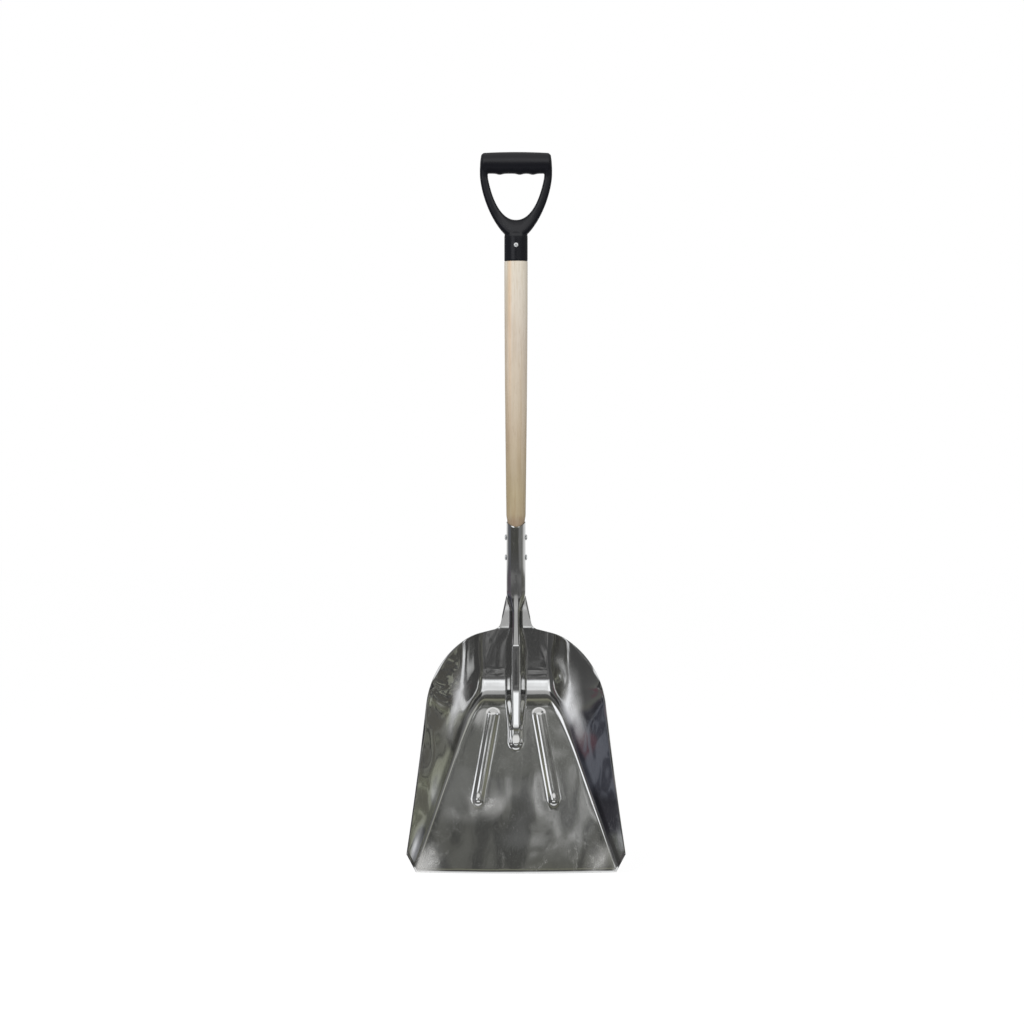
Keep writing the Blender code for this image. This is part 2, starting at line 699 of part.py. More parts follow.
def grip_bar(stations, segments):
    """The crossbar: slightly crowned on top, with finger ridges underneath."""
    rings = []
    for i in range(stations + 1):
        x = -BAR_HALF_LENGTH + 2 * BAR_HALF_LENGTH * i / stations
        near_end = 1 - BAR_END_SHARE * smoothstep(BAR_HALF_LENGTH - BAR_END, BAR_HALF_LENGTH, abs(x))
        top = BAR_RADIUS_Z - BAR_CROWN * (x / BAR_HALF_LENGTH) ** 2
        bottom = BAR_RADIUS_Z - BAR_FLAT + FINGER_RIDGE_HEIGHT * finger_bumps(x)
        ring = []
        for k in range(segments):
            turn = 2 * math.pi * k / segments
            up = math.sin(turn)
            radius = mix(top, bottom, smoothstep(0.0, 1.0, -up))
            ring.append((x, BAR_RADIUS_Y * math.cos(turn) * near_end, BAR_Z + radius * up * near_end))
        rings.append(ring)
    return loft(rings)


def grip_tube():
    """The tube over the shaft, closing as it runs up into the yoke."""
    profile = [
        (GRIP_TUBE_RADIUS - 0.6, GRIP_FOOT_Z),
        (GRIP_TUBE_RADIUS, GRIP_FOOT_Z + 0.8),
        (GRIP_TUBE_RADIUS, BORE_TOP_Z + 5),
        (GRIP_TUBE_RADIUS - 1, BORE_TOP_Z + 9),
        (GRIP_TUBE_RADIUS - 4.5, BORE_TOP_Z + 13),
        (GRIP_TUBE_RADIUS - 11, BORE_TOP_Z + 19),
    ]
    return turned(profile, ROUND)


def make_grip(finish, screw_cut):
    grip = new_object("d_grip", grip_loop(12, 12), finish)
    bar = cutter("grip_bar", grip_bar(ROUND, ROUND_SMALL))
    tube = cutter("grip_tube", grip_tube())
    bore = cutter("grip_bore", turned([(BORE_RADIUS, GRIP_FOOT_Z - 5), (BORE_RADIUS, BORE_TOP_Z)], ROUND))
    boolean(grip, bar, "UNION")
    boolean(grip, tube, "UNION")
    boolean(grip, bore, "DIFFERENCE")
    boolean(grip, screw_cut, "DIFFERENCE")
    return grip


def main():
    clear_scene()
    stainless = material("stainless", (0.62, 0.62, 0.62), 0.12, 1.0)
    wood = material("wood", (0.72, 0.60, 0.44), 0.55, 0.0)
    plastic = material("black_plastic", (0.018, 0.018, 0.021), 0.38, 0.0)
    zinc = material("zinc_plate", (0.66, 0.67, 0.69), 0.3, 1.0)
    make_blade(stainless)
    screw_cut = screw_hole()
    make_shaft(wood, screw_cut)
    make_grip(plastic, screw_cut)
    make_screw(zinc)
    for name, height in RIVET_HEIGHTS.items():
        make_rivet(name, height, zinc)


main()
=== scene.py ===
"""Looks of the grain scoop shovel: finely pressed steel, turned wood, moulded plastic, and a soft studio.

Shapes are worked out in millimetres about the shaft's axis, with the lip's middle at height 0, as the part's
own source does. FRAME_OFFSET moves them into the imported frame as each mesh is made.
"""

import math

import bmesh
import bpy
import numpy as np
from mathutils import Matrix, Vector

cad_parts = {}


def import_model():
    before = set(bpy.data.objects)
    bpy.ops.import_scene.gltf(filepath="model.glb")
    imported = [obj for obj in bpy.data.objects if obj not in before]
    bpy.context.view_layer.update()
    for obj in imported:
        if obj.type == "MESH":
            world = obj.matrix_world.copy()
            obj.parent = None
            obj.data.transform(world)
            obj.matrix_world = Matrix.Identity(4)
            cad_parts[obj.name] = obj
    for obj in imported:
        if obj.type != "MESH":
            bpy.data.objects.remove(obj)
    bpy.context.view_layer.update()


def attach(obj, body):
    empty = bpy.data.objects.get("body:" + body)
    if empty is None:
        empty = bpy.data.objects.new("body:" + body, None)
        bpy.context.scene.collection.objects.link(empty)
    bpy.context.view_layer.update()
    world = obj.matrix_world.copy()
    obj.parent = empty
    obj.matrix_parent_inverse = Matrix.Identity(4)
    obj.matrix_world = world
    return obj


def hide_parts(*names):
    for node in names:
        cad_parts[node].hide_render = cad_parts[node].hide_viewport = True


MM = 0.001
FRAME_OFFSET = Vector((0.0, 4.3, 0.2))  # shaft axis and lip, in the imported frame, in millimetres

# Pan outline, seen along Y
PAN_HALF_WIDTH = 173.6
CORNER_HEIGHT = 31.0
SIDE_LEAN = math.radians(8.4)
SIDE_LENGTH = 238.2
SIDE_HOLLOW_RADIUS = 6620.0
SIDE_ARC_RADIUS = 142.3
SIDE_ARC = math.radians(48.0)
SHOULDER_ARC_RADIUS = 79.8
SHOULDER_SLOPE = math.radians(14.3)
SHOULDER_LENGTH = 23.8
NECK_FILLET = 14.0
WING_LEAN = math.radians(12.5)

# Pan floor and walls
LIP_Y = -50.0
LIP_BOW = 2.0
LIP_BOW_FADE = 60.0
LIP_HALF_WIDTH = 159.0
FLOOR_TILT = math.radians(20.0)
HEEL_Z = 290.0
HEEL_HALF_WIDTH = 59.0
HEEL_DROP = 28.0  # how much lower the heel bend runs in the corners
HEEL_SAG_IN = (50.0, 92.0)  # from the middle, where that sag sets in
HEEL_SAG_OUT = (95.0, 185.0)  # and where it fades again
CORNER_POWER = 1.6
CREASE_LEAN = math.radians(19.65)
SIDE_SLOPE = 0.87
BACK_SLOPE = 0.906
CREASE_BLEND = 4.0
CREASE_BLEND_GROWTH = 12.0
FLOOR_SHARE = 0.80  # the most of the rim's half width that lies inside the crease, above the heel
HEEL_BLEND = 34.0
NECK_Z = 396.0
NECK_Y = 2.0
NECK_RAKE = 0.045
NECK_BLEND = 0.4
NECK_BLEND_START = 40.0  # above the heel, where that blend is full
NECK_FLAT_HALF_WIDTH = 26.0
NECK_FALL = 0.024
SHEET = 1.2
GAP = 0.3  # between neighbouring pieces
LIP_BEVEL = 2.2  # width of the ground bevel along the lip
LIP_EDGE = 0.3  # thickness left at the lip
EDGE_ROUNDING = 0.28

# Ribs
RIDGE_END_Z = 204.5
RIDGE_NOSE_WIDTH = 13.5  # half widths along the ridge
RIDGE_HEEL_WIDTH = 17.5
RIDGE_NECK_WIDTH = 10.5
RIDGE_NARROW_Z = 402.0  # the ridge widens from here
RIDGE_WIDE_Z = 345.0  # down to here
RIDGE_NOSE_Z = 220.0  # and narrows again from the heel down to here
RIDGE_NOSE_HEIGHT = 5.0
CREST_TOP_Z = 446.0
CREST_BREAK_Z = 360.0
CREST_BREAK_BLEND = 1.0
CREST_HEEL_Z = 288.0
CREST_HEEL_BLEND = 9.0
CREST_FOOT_BLEND = 7.0
CREST_TOP_SLOPE = 0.05  # above the break
CREST_BACK_SLOPE = 0.36  # from the break to the heel
CREST_HEEL_SLOPE = 0.19  # from the heel to the floor
RIDGE_FLAT = 0.26
NOSE_BUMP = 1.6
NOSE_BUMP_SPREAD = 7.0
NOSE_BUMP_BACK = 3.0  # the ridge's bump is this far before its end
SIDE_RIB_BUMP = 0.6  # share of that bump at the foot of each side rib
SIDE_RIB_TOP = np.array((37.0, 247.0))
SIDE_RIB_FOOT = np.array((60.5, 114.5))
SIDE_RIB_HALF_WIDTH = 11.5
SIDE_RIB_HEIGHT = 3.7
SIDE_RIB_FLAT = 0.12

# Socket
SOCKET_RADIUS = 14.9
WING_FLAT_Z = 402.0  # from here the sheet beyond the wing's straight edge is turned back
WING_FOLD_RADIUS = 2.5
WING_FOLD_EASE = 6.0  # height over which the fold sets in
SOCKET_ROUND_Z = 464.0
SOCKET_CLOSING = 16.0
RIDGE_START_Z = 412.0
RIDGE_ROUND_Z = 447.0
SOCKET_TOP_Z = 554.0
RIDGE_TURN = math.radians(88.0)
SEAM_ANGLE = math.radians(174.0)
MOUTH_DIP = 4.0
MOUTH_DEPTH = 28.0  # the socket's rows start to dip this far below its mouth

# Shaft, grip and fasteners
SHAFT_FOOT_Z = 460.0
SHAFT_SOCKET_RADIUS = 14.0
SHAFT_LOW_RADIUS = 15.3
SHAFT_HIGH_RADIUS = 18.6
SHAFT_SWELL = 11.0  # length over which the shaft swells out above the socket's mouth
TENON_RADIUS = 16.7
GRIP_FOOT_Z = 975.0
GRIP_TUBE_RADIUS = 18.7
BORE_RADIUS = 17.0
BORE_TOP_Z = 1010.0
LOOP_SHOULDER_Z = 1113.2  # where the loop is widest
LOOP_BOTTOM_Z = 1007.1
LOOP_HALF_WIDTH = 57.8
LOOP_POWER = 1.59
WINDOW_CENTRE_Z = 1172.2
WINDOW_BOTTOM_Z = 1041.2
WINDOW_HALF_WIDTH = 50.2
WINDOW_POWER = 2.155
WINDOW_TURN = 0.693  # share of a quarter turn that the window's curve uses before the bar
BAR_Z = 1132.2
BAR_RADIUS_Z = 17.7
BAR_RADIUS_Y = 15.5
BAR_HALF_LENGTH = 54.5
BAR_END = 3.0  # length over which each end of the bar is rounded in
BAR_END_SHARE = 0.10  # by this share of its radius
BAR_CROWN = 1.6
BAR_FLAT = 0.7
FINGER_RIDGES = (-26.0, 6.0, 27.0)
FINGER_RIDGE_HEIGHT = 1.8
FINGER_RIDGE_SPREAD = 5.5
ARM_HALF_DEPTH = 10.0
ARM_SQUARENESS = 0.68  # 1 is an ellipse, 0 a rectangle
YOKE_EXTRA_DEPTH = 8.5  # outside, where the loop meets the tube
YOKE_TURNS = (0.1, 0.8)  # turn along the loop's outline over which the yoke thins into an arm
ARM_TOP = (  # inner x and z, outer x and z, half depth, where each arm runs up into the bar
    (45.2, 1114.0, 57.9, 1122.0, 11.0),
    (44.5, 1120.0, 57.2, 1135.0, 13.5),
    (42.0, 1126.0, 55.7, 1145.0, 13.0),
    (36.0, 1128.0, 51.5, 1147.5, 10.0),
    (12.0, 1126.0, 12.0, 1142.0, 10.0),
)
RIVETS = {"socket_rivet_upper": 533.0, "socket_rivet_lower": 501.0}
RIVET_RADIUS = 2.5
RIVET_HEAD_RADIUS = 4.75
RIVET_HEAD_HEIGHT = 2.15
SCREW_Z = 1000.0
SCREW_RADIUS = 2.0
SCREW_HEAD_RADIUS = 3.75
SCREW_HEAD_HEIGHT = 1.65
SCREW_LENGTH = 27.5
SCREW_POINT = 4.5
RECESS_ARM = 1.9
RECESS_HALF_WIDTH = 0.36
RECESS_TURN = 0.35  # how far the cross has turned from upright

# Studio
CAMERA_DISTANCE = 6.0
CAMERA_X = -0.0064
CAMERA_Z = 0.5738
PICTURE_WIDTH = 1.6394  # metres across the picture, at the shaft
ROOM_RADIUS = 1.5  # the reflected room is a ball of this radius
ROOM_CENTRE = Vector((0.0, 0.0, 0.40))


# ---------------- helpers


def smoothstep(low, high, value):
    t = np.clip((np.asarray(value, float) - low) / (high - low), 0.0, 1.0)
    return t * t * (3 - 2 * t)


def ramp(distance, blend):
    """Zero, then a parabola from -blend to blend, then the distance itself."""
    rounded = (distance + blend) ** 2 / (4 * blend)
    return np.where(distance <= -blend, 0.0, np.where(distance >= blend, distance, rounded))


def mix(low, high, share):
    return low * (1 - share) + high * share


def spread(*stretches):
    """Values through (end, count) stretches from the first number on, each stretch evenly cut."""
    values = [stretches[0]]
    for end, count in stretches[1:]:
        values += list(np.linspace(values[-1], end, count + 1)[1:])
    return values


def placed(name, data):
    obj = bpy.data.objects.new(name, data)
    bpy.context.scene.collection.objects.link(obj)
    return obj


def finish_mesh(name, mesh, material, nodes, sharp=None):
    """Scales a millimetre mesh into the frame, and makes it the piece that stands for some CAD nodes."""
    mesh.transform(Matrix.Scale(MM, 4) @ Matrix.Translation(FRAME_OFFSET))
    mesh.shade_smooth()
    if sharp:
        mesh.set_sharp_from_angle(angle=math.radians(sharp))
    mesh.materials.clear()
    mesh.materials.append(material)
    obj = placed(name, mesh)
    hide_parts(*nodes)
    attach(obj, "root")
    return obj


def mesh_from_bmesh(name, bm):
    bmesh.ops.recalc_face_normals(bm, faces=bm.faces)
    mesh = bpy.data.meshes.new(name)
    bm.to_mesh(mesh)
    bm.free()
    return mesh


def loft(rings, close_ends=True, close_loop=False):
    bm = bmesh.new()
    made = [[bm.verts.new(point) for point in ring] for ring in rings]
    pairs = list(zip(made, made[1:]))
    if close_loop:
        pairs.append((made[-1], made[0]))
    for lower, upper in pairs:
        for i in range(len(lower)):
            j = (i + 1) % len(lower)
            bm.faces.new((lower[i], lower[j], upper[j], upper[i]))
    if close_ends:
        bm.faces.new(reversed(made[0]))
        bm.faces.new(made[-1])
    return bm


def circle(radius, z, segments):
    turns = [2 * math.pi * i / segments for i in range(segments)]
    return [(radius * math.cos(a), radius * math.sin(a), z) for a in turns]


def turned(profile, segments):
    """A solid of revolution about Z through (radius, z) pairs."""
    return loft([circle(radius, z, segments) for radius, z in profile])


def modified(mesh, kind, **settings):
    """The mesh that one modifier makes of this one."""
    holder = placed("holder", mesh)
    modifier = holder.modifiers.new("step", kind)
    for key, value in settings.items():
        setattr(modifier, key, value)
    graph = bpy.context.evaluated_depsgraph_get()
    made = bpy.data.meshes.new_from_object(holder.evaluated_get(graph))
    bpy.data.objects.remove(holder)
    bpy.data.meshes.remove(mesh)
    return made


# ---------------- shader helpers


def feed(made, inputs):
    """Sets a node's inputs, or links them where the value comes from another node."""
    for key, value in inputs.items():
        if isinstance(value, bpy.types.NodeSocket):
            made.id_data.links.new(value, made.inputs[key])
        else:
            made.inputs[key].default_value = value


def node(tree, kind, inputs=None, **settings):
    made = tree.nodes.new(kind)
    for key, value in settings.items():
        setattr(made, key, value)
    feed(made, inputs or {})
    return made


def calc(operation, a, b=0.0, clamp=False):
    """One step of arithmetic, in the node tree of whichever value comes from a node."""
    tree = (a if isinstance(a, bpy.types.NodeSocket) else b).id_data
    return node(tree, "ShaderNodeMath", {0: a, 1: b}, operation=operation, use_clamp=clamp).outputs[0]


def rise(value, low, high):
    """0 below low to 1 above high, smoothly; falling when low is above high."""
    inputs = {0: value, 1: min(low, high), 2: max(low, high), 3: float(low > high), 4: float(low < high)}
    return node(value.id_data, "ShaderNodeMapRange", inputs, interpolation_type="SMOOTHSTEP").outputs[0]


def band(value, low, high, soft):
    """1 from low to high, fading to 0 over the soft width at each end."""
    return times(rise(value, low - soft, low + soft), rise(value, high + soft, high - soft))


def times(first, *others):
    for other in others:
        first = calc("MULTIPLY", first, other)
    return first


def plus(first, *others):
    for other in others:
        first = calc("ADD", first, other)
    return first


def rgba(colour):
    """A node's colour, from a socket, a grey level, or red, green and blue."""
    if isinstance(colour, float):
        return (colour, colour, colour, 1.0)
    return (*colour, 1.0) if isinstance(colour, tuple) else colour


def blend(factor, a, b, mode="MIX"):
    """Colour a, with colour b mixed in by the factor."""
    inputs = {0: factor, 6: rgba(a), 7: rgba(b)}
    made = node(factor.id_data, "ShaderNodeMix", inputs, data_type="RGBA", blend_type=mode)
    return made.outputs[2]


def layered(colour, *layers, mode="MIX"):
    """The colour with each (factor, colour) layer mixed in, in order."""
    for factor, over in layers:
        colour = blend(factor, colour, over, mode)
    return colour


def colour_ramp(value, low, high, stops):
    """A colour for each value from low to high, through (value, colour) stops."""
    share = calc("DIVIDE", calc("SUBTRACT", value, low), high - low)
    made = node(value.id_data, "ShaderNodeValToRGB", {0: share})
    elements = made.color_ramp.elements
    while len(elements) < len(stops):
        elements.new(0.5)
    for element, (at, colour) in zip(elements, stops):
        element.position = (at - low) / (high - low)
        element.color = rgba(colour)
    return made.outputs[0]


def noise(vector, scale, detail=3.0, roughness=0.5, distortion=0.0):
    inputs = {"Vector": vector, "Scale": scale, "Detail": detail, "Roughness": roughness}
    made = node(vector.id_data, "ShaderNodeTexNoise", {**inputs, "Distortion": distortion})
    return made.outputs["Fac"]


def stretched(vector, scale, turn=(0.0, 0.0, 0.0)):
    inputs = {"Vector": vector, "Scale": scale, "Rotation": turn}
    return node(vector.id_data, "ShaderNodeMapping", inputs).outputs[0]


def axes(vector):
    """A vector's x, y and z."""
    return node(vector.id_data, "ShaderNodeSeparateXYZ", {0: vector}).outputs


def bumped(heights):
    """One normal from several (height, distance in metres) pairs."""
    normal = {}
    for height, distance in heights:
        inputs = {"Height": height, "Strength": 1.0, "Distance": distance, **normal}
        normal = {"Normal": node(height.id_data, "ShaderNodeBump", inputs).outputs[0]}
    return normal["Normal"]


def new_material(name):
    """A material, its shader, and the place on the object that is being shaded."""
    material = bpy.data.materials.new(name)
    material.use_nodes = True
    shader = material.node_tree.nodes["Principled BSDF"]
    place = node(material.node_tree, "ShaderNodeTexCoord").outputs["Object"]
    return material, shader, place


def emptied_tree(data):
    """The node tree of a material or world, without the nodes it came with."""
    data.use_nodes = True
    data.node_tree.nodes.clear()
    return data.node_tree


# ---------------- materials


def scratch_lines(place):
    inputs = {
        "Vector": stretched(place, (1.0, 1.0, 0.2), (0.3, 0.5, 0.9)),
        "Scale": 90.0,
        "Distortion": 26.0,
        "Detail": 3.0,
        "Detail Scale": 1.6,
    }
    return rise(node(place.id_data, "ShaderNodeTexWave", inputs).outputs["Fac"], 0.985, 1.0)


def handling_haze(place, z, streaks, on_wall):
    """Dull smudges, most of them low in the pan and few on its walls."""
    smudges = noise(place, 17.0, 4.0, 0.62, 0.8)
    haze = times(rise(smudges, 0.50, 0.72), rise(streaks, 0.30, 0.70))
    low_pan = rise(z, 0.17, 0.05)
    haze = calc("MULTIPLY", haze, plus(0.35, low_pan), clamp=True)
    return times(haze, calc("SUBTRACT", 1.0, times(on_wall, 0.85)))


def settled_dust(aside, z, inside, clouds):
    """Pale dust in the floor's front corners and across the floor at the feet of the ribs."""
    corners = times(rise(aside, 0.100, 0.155), rise(z, 0.058, 0.014), 0.7)
    feet = times(band(z, 0.092, 0.120, 0.020), rise(clouds, 0.44, 0.64), 0.42)
    return times(calc("MAXIMUM", corners, feet), inside, rise(clouds, 0.25, 0.55))


def painted_corner_highlights(aside, z, clouds):
    """Painted highlight: a paler, duller patch up each rear corner of the pan, standing in for bright
    reflections there.
    """
    uneven = times(calc("SUBTRACT", clouds, 0.5), 0.05)
    leaning = plus(aside, times(z, 0.2), uneven)
    patch = times(band(leaning, 0.136, 0.152, 0.016), band(z, 0.225, 0.310, 0.035))
    return times(patch, plus(0.55, times(rise(clouds, 0.42, 0.58), 0.45)))


def steel_material():
    """Mirror-polished sheet: slow dents, polishing lines, scratches, handling haze and a little dust, with
    painted shade beside the lower creases and a painted highlight up each rear corner.
    """
    material, shader, place = new_material("polished_stainless")
    x, _, z = axes(place)
    aside = calc("ABSOLUTE", x)
    outward = plus(aside, times(z, math.tan(CREASE_LEAN)))
    crease = (HEEL_HALF_WIDTH + math.tan(CREASE_LEAN) * HEEL_Z) * MM
    on_wall = rise(outward, crease, crease + 0.03)
    inside = rise(outward, crease + 0.004, crease - 0.004)
    # painted shade: a dark band on the wall just outside each crease, low in the pan, darkens the steel's
    # colour
    crease_shade_band = band(outward, crease + 0.003, crease + 0.011, 0.003)
    painted_crease_shade = times(crease_shade_band, rise(z, 0.30, 0.25))

    dents = noise(stretched(place, (1.0, 1.0, 0.55)), 13.0, 1.0)
    depth = plus(1.0, times(on_wall, 1.6))
    dents = times(calc("SUBTRACT", dents, 0.5), depth)
    lines = noise(stretched(place, (1.0, 1.0, 0.03)), 900.0, 2.0, 0.6)
    streaks = noise(stretched(place, (1.0, 1.0, 0.09)), 60.0, 3.0, 0.6, 0.4)
    clouds = noise(stretched(place, (1.0, 1.0, 0.6)), 24.0, 1.5, 0.4)
    scratches = scratch_lines(place)
    haze = handling_haze(place, z, streaks, on_wall)
    dust = settled_dust(aside, z, inside, clouds)
    # painted highlight: pale, half-matt patches up the rear corners stand in for bright reflections
    painted_corner_highlight = painted_corner_highlights(aside, z, clouds)

    tone = layered(
        blend(streaks, (0.69, 0.69, 0.685), (0.76, 0.76, 0.75)),
        (times(haze, 0.5), (0.86, 0.86, 0.85)),
        # painted shade beside the creases
        (times(painted_crease_shade, 0.75), (0.22, 0.22, 0.23)),
        (dust, (0.80, 0.79, 0.78)),
        # painted highlight up the rear corners
        (painted_corner_highlight, (0.93, 0.94, 0.97)),
    )
    rough_parts = ((haze, 0.20), (lines, 0.035), (scratches, 0.10), (dust, 0.30), (painted_corner_highlight, 0.25))
    roughness = plus(*[times(part, share) for part, share in rough_parts], 0.035)
    metal = calc("SUBTRACT", 1.0, times(dust, 0.5))
    metal = calc("SUBTRACT", metal, times(painted_corner_highlight, 0.85), clamp=True)
    normal = bumped(((dents, 0.0035), (streaks, 0.000012), (lines, 0.0000012), (scratches, 0.000004)))
    feed(shader, {"Base Color": tone, "Metallic": metal, "Roughness": roughness, "Normal": normal})
    return material


def wood_material():
    """Pale sanded hardwood with straight grain, darker and yellower downwards, stained above the socket."""
    material, shader, place = new_material("sanded_wood")
    x, y, z = axes(place)
    grain_place = stretched(place, (1.0, 1.0, 0.035))
    rings = noise(grain_place, 120.0, 4.0, 0.6, 0.6)
    fibres = noise(stretched(place, (1.0, 1.0, 0.02)), 900.0, 3.0, 0.7)
    pores = rise(noise(stretched(place, (1.0, 1.0, 0.03)), 1500.0, 2.0, 0.5), 0.62, 0.72)
    mottle = noise(stretched(place, (1.0, 1.0, 0.25)), 22.0, 3.0, 0.55)
    base = colour_ramp(
        z,
        0.45,
        1.0,
        (
            (0.555, (0.33, 0.27, 0.178)),
            (0.60, (0.353, 0.296, 0.191)),
            (0.70, (0.414, 0.347, 0.261)),
            (0.85, (0.504, 0.446, 0.374)),
            (0.975, (0.570, 0.531, 0.460)),
        ),
    )
    grain = times(rise(rings, 0.42, 0.62), 0.6)
    base = blend(grain, base, (0.84, 0.77, 0.66), "MULTIPLY")
    left_of_middle = times(band(x, -0.0125, -0.0075, 0.002), rise(y, 0.0, -0.004))
    heart = times(left_of_middle, rise(z, 0.60, 0.95), 0.45)
    base = blend(heart, base, (0.60, 0.40, 0.24))
    base = layered(
        base,
        (times(rise(fibres, 0.35, 0.7), 0.35), (0.86, 0.80, 0.70)),
        (times(pores, 0.45), (0.55, 0.42, 0.30)),
        (rise(mottle, 0.45, 0.75), (0.88, 0.86, 0.86)),
        mode="MULTIPLY",
    )
    stain_edge = plus(z, times(mottle, 0.02))
    stain = times(rise(stain_edge, 0.582, 0.566), 0.40)
    base = blend(stain, base, (0.17, 0.10, 0.075))
    normal = bumped(((rings, 0.00010), (fibres, 0.00006), (pores, -0.00006)))
    roughness = plus(0.46, times(fibres, 0.18))
    feed(shader, {"Base Color": base, "Roughness": roughness, "Normal": normal})
    return material


def plastic_material():
    """Black moulded plastic: fine spark texture, a flash line round the loop and light scuffs, with painted
    shade on downward faces.
    """
    material, shader, place = new_material("moulded_black_plastic")
    _, y, z = axes(place)
    texture = noise(place, 1400.0, 2.0, 0.5)
    swell = noise(place, 60.0, 2.0, 0.5)
    from_seam = calc("ABSOLUTE", calc("SUBTRACT", y, FRAME_OFFSET.y * MM))
    seam = rise(from_seam, 0.00045, 0.00015)
    scuffs = rise(noise(stretched(place, (1.0, 1.0, 0.3)), 160.0, 4.0, 0.7, 1.5), 0.60, 0.74)
    black, scuffed = (0.0068, 0.0070, 0.0092), (0.020, 0.020, 0.022)
    tone = blend(times(scuffs, 0.35), black, scuffed)
    on_tube = rise(z, 1.018, 1.008)
    smoother_tube = calc("SUBTRACT", times(swell, 0.10), times(on_tube, 0.08))
    roughness = plus(smoother_tube, 0.24, times(scuffs, 0.15))
    normal = bumped(((texture, 0.00005), (swell, 0.0003), (seam, 0.00018)))
    # painted shade: the specular level is turned down on faces that point downwards, darkening the undersides
    facing = node(place.id_data, "ShaderNodeNewGeometry").outputs["Normal"]
    upward = axes(facing)["Z"]
    shaded_underside_specular = plus(0.05, times(rise(upward, -0.30, 0.25), 0.45))
    feed(shader, {"Base Color": tone, "Roughness": roughness, "Normal": normal, "Specular IOR Level": shaded_underside_specular})
    return material


def zinc_material():
    """Bright zinc plate, slightly mottled and dull in patches."""
    material, shader, place = new_material("zinc_plate")
    spangle = noise(place, 700.0, 3.0, 0.6)
    wear = rise(noise(place, 260.0, 3.0, 0.6), 0.45, 0.7)
    tone = blend(wear, (0.86, 0.88, 0.90), (0.66, 0.67, 0.66))
    roughness = plus(0.22, times(wear, 0.25))
    normal = bumped(((spangle, 0.00003),))
    feed(shader, {"Base Color": tone, "Metallic": 0.8, "Roughness": roughness, "Normal": normal})
    return material


# ---------------- blade


SIDE_HEADING = math.pi / 2 + SIDE_LEAN
ARC_HEADING = SIDE_HEADING - SIDE_LENGTH / SIDE_HOLLOW_RADIUS + SIDE_ARC
SHOULDER_HEADING = math.pi - SHOULDER_SLOPE
WING_HEADING = math.pi / 2 + WING_LEAN
RIM_PIECES = (  # (length, bend) from the front corner: side, two arcs, shoulder, neck fillet
    (SIDE_LENGTH, -1 / SIDE_HOLLOW_RADIUS),
    (SIDE_ARC_RADIUS * SIDE_ARC, 1 / SIDE_ARC_RADIUS),
    (SHOULDER_ARC_RADIUS * (SHOULDER_HEADING - ARC_HEADING), 1 / SHOULDER_ARC_RADIUS),
    (SHOULDER_LENGTH, 0.0),
    (NECK_FILLET * (SHOULDER_HEADING - WING_HEADING), -1 / NECK_FILLET),
)
RIM_TO_NECK = sum(length for length, bend in RIM_PIECES)


def rim_point(distance):
    """The rim's (x, z), this far along it from the front corner; the wing's straight edge comes last."""
    heading = SIDE_HEADING
    x, z = PAN_HALF_WIDTH, CORNER_HEIGHT
    for length, bend in RIM_PIECES + ((math.inf, 0.0),):
        run = min(distance, length)
        if bend:
            turned_heading = heading + run * bend
            x += (math.sin(turned_heading) - math.sin(heading)) / bend
            z -= (math.cos(turned_heading) - math.cos(heading)) / bend
            heading = turned_heading
        else:
            x += run * math.cos(heading)
            z += run * math.sin(heading)
        distance -= run
        if distance <= 0:
            break
    return x, z


def crease_x(z):
    """Half width of the floor at height z; straight up above the heel."""
    return HEEL_HALF_WIDTH + math.tan(CREASE_LEAN) * np.maximum(0.0, HEEL_Z - z)


def crease_blend(z):
    """The crease is tight along the floor and opens out towards the heel."""
    return CREASE_BLEND + CREASE_BLEND_GROWTH * smoothstep(HEEL_Z - 100.0, HEEL_Z + 10.0, z)


def heel_z(x):
    """The heel bend sags in both corners of the pan."""
    aside = np.abs(x)
    return HEEL_Z - HEEL_DROP * (smoothstep(*HEEL_SAG_IN, aside) - smoothstep(*HEEL_SAG_OUT, aside))


def rib_profile(share, flat):
    """Height of a pressed rib, 1 on its flat top to 0 at its edge."""
    flank = 0.5 * (1 + np.cos(np.pi * (share - flat) / (1 - flat)))
    return np.where(share >= 1, 0.0, np.where(share <= flat, 1.0, flank))


def nose_bump(distance):
    return NOSE_BUMP * np.exp(-((distance / NOSE_BUMP_SPREAD) ** 2))


def ridge_half_width(z):
    from_neck = (RIDGE_HEEL_WIDTH - RIDGE_NECK_WIDTH) * smoothstep(RIDGE_NARROW_Z, RIDGE_WIDE_Z, z)
    to_nose = (RIDGE_HEEL_WIDTH - RIDGE_NOSE_WIDTH) * smoothstep(HEEL_Z, RIDGE_NOSE_Z, z)
    return RIDGE_NECK_WIDTH + from_neck - to_nose


def floor_y(z):
    return LIP_Y + math.tan(FLOOR_TILT) * z


CREST_BREAK_Y = CREST_TOP_SLOPE * (CREST_TOP_Z - CREST_BREAK_Z) - SOCKET_RADIUS
CREST_HEEL_Y = CREST_BREAK_Y + CREST_BACK_SLOPE * (CREST_BREAK_Z - CREST_HEEL_Z)
CREST_FOOT_TURN = CREST_HEEL_SLOPE + math.tan(FLOOR_TILT)
CREST_FOOT_Z = (CREST_HEEL_Y + CREST_HEEL_SLOPE * CREST_HEEL_Z - LIP_Y + RIDGE_NOSE_HEIGHT) / CREST_FOOT_TURN


def crest_y(z):
    """The ridge's crest: down from the socket's front, back in two slopes, then along the floor."""
    y = CREST_TOP_SLOPE * np.maximum(0.0, CREST_TOP_Z - z) - SOCKET_RADIUS
    y = y + (CREST_BACK_SLOPE - CREST_TOP_SLOPE) * ramp(CREST_BREAK_Z - z, CREST_BREAK_BLEND)
    y = y - (CREST_BACK_SLOPE - CREST_HEEL_SLOPE) * ramp(CREST_HEEL_Z - z, CREST_HEEL_BLEND)
    return y - CREST_FOOT_TURN * ramp(CREST_FOOT_Z - z, CREST_FOOT_BLEND)


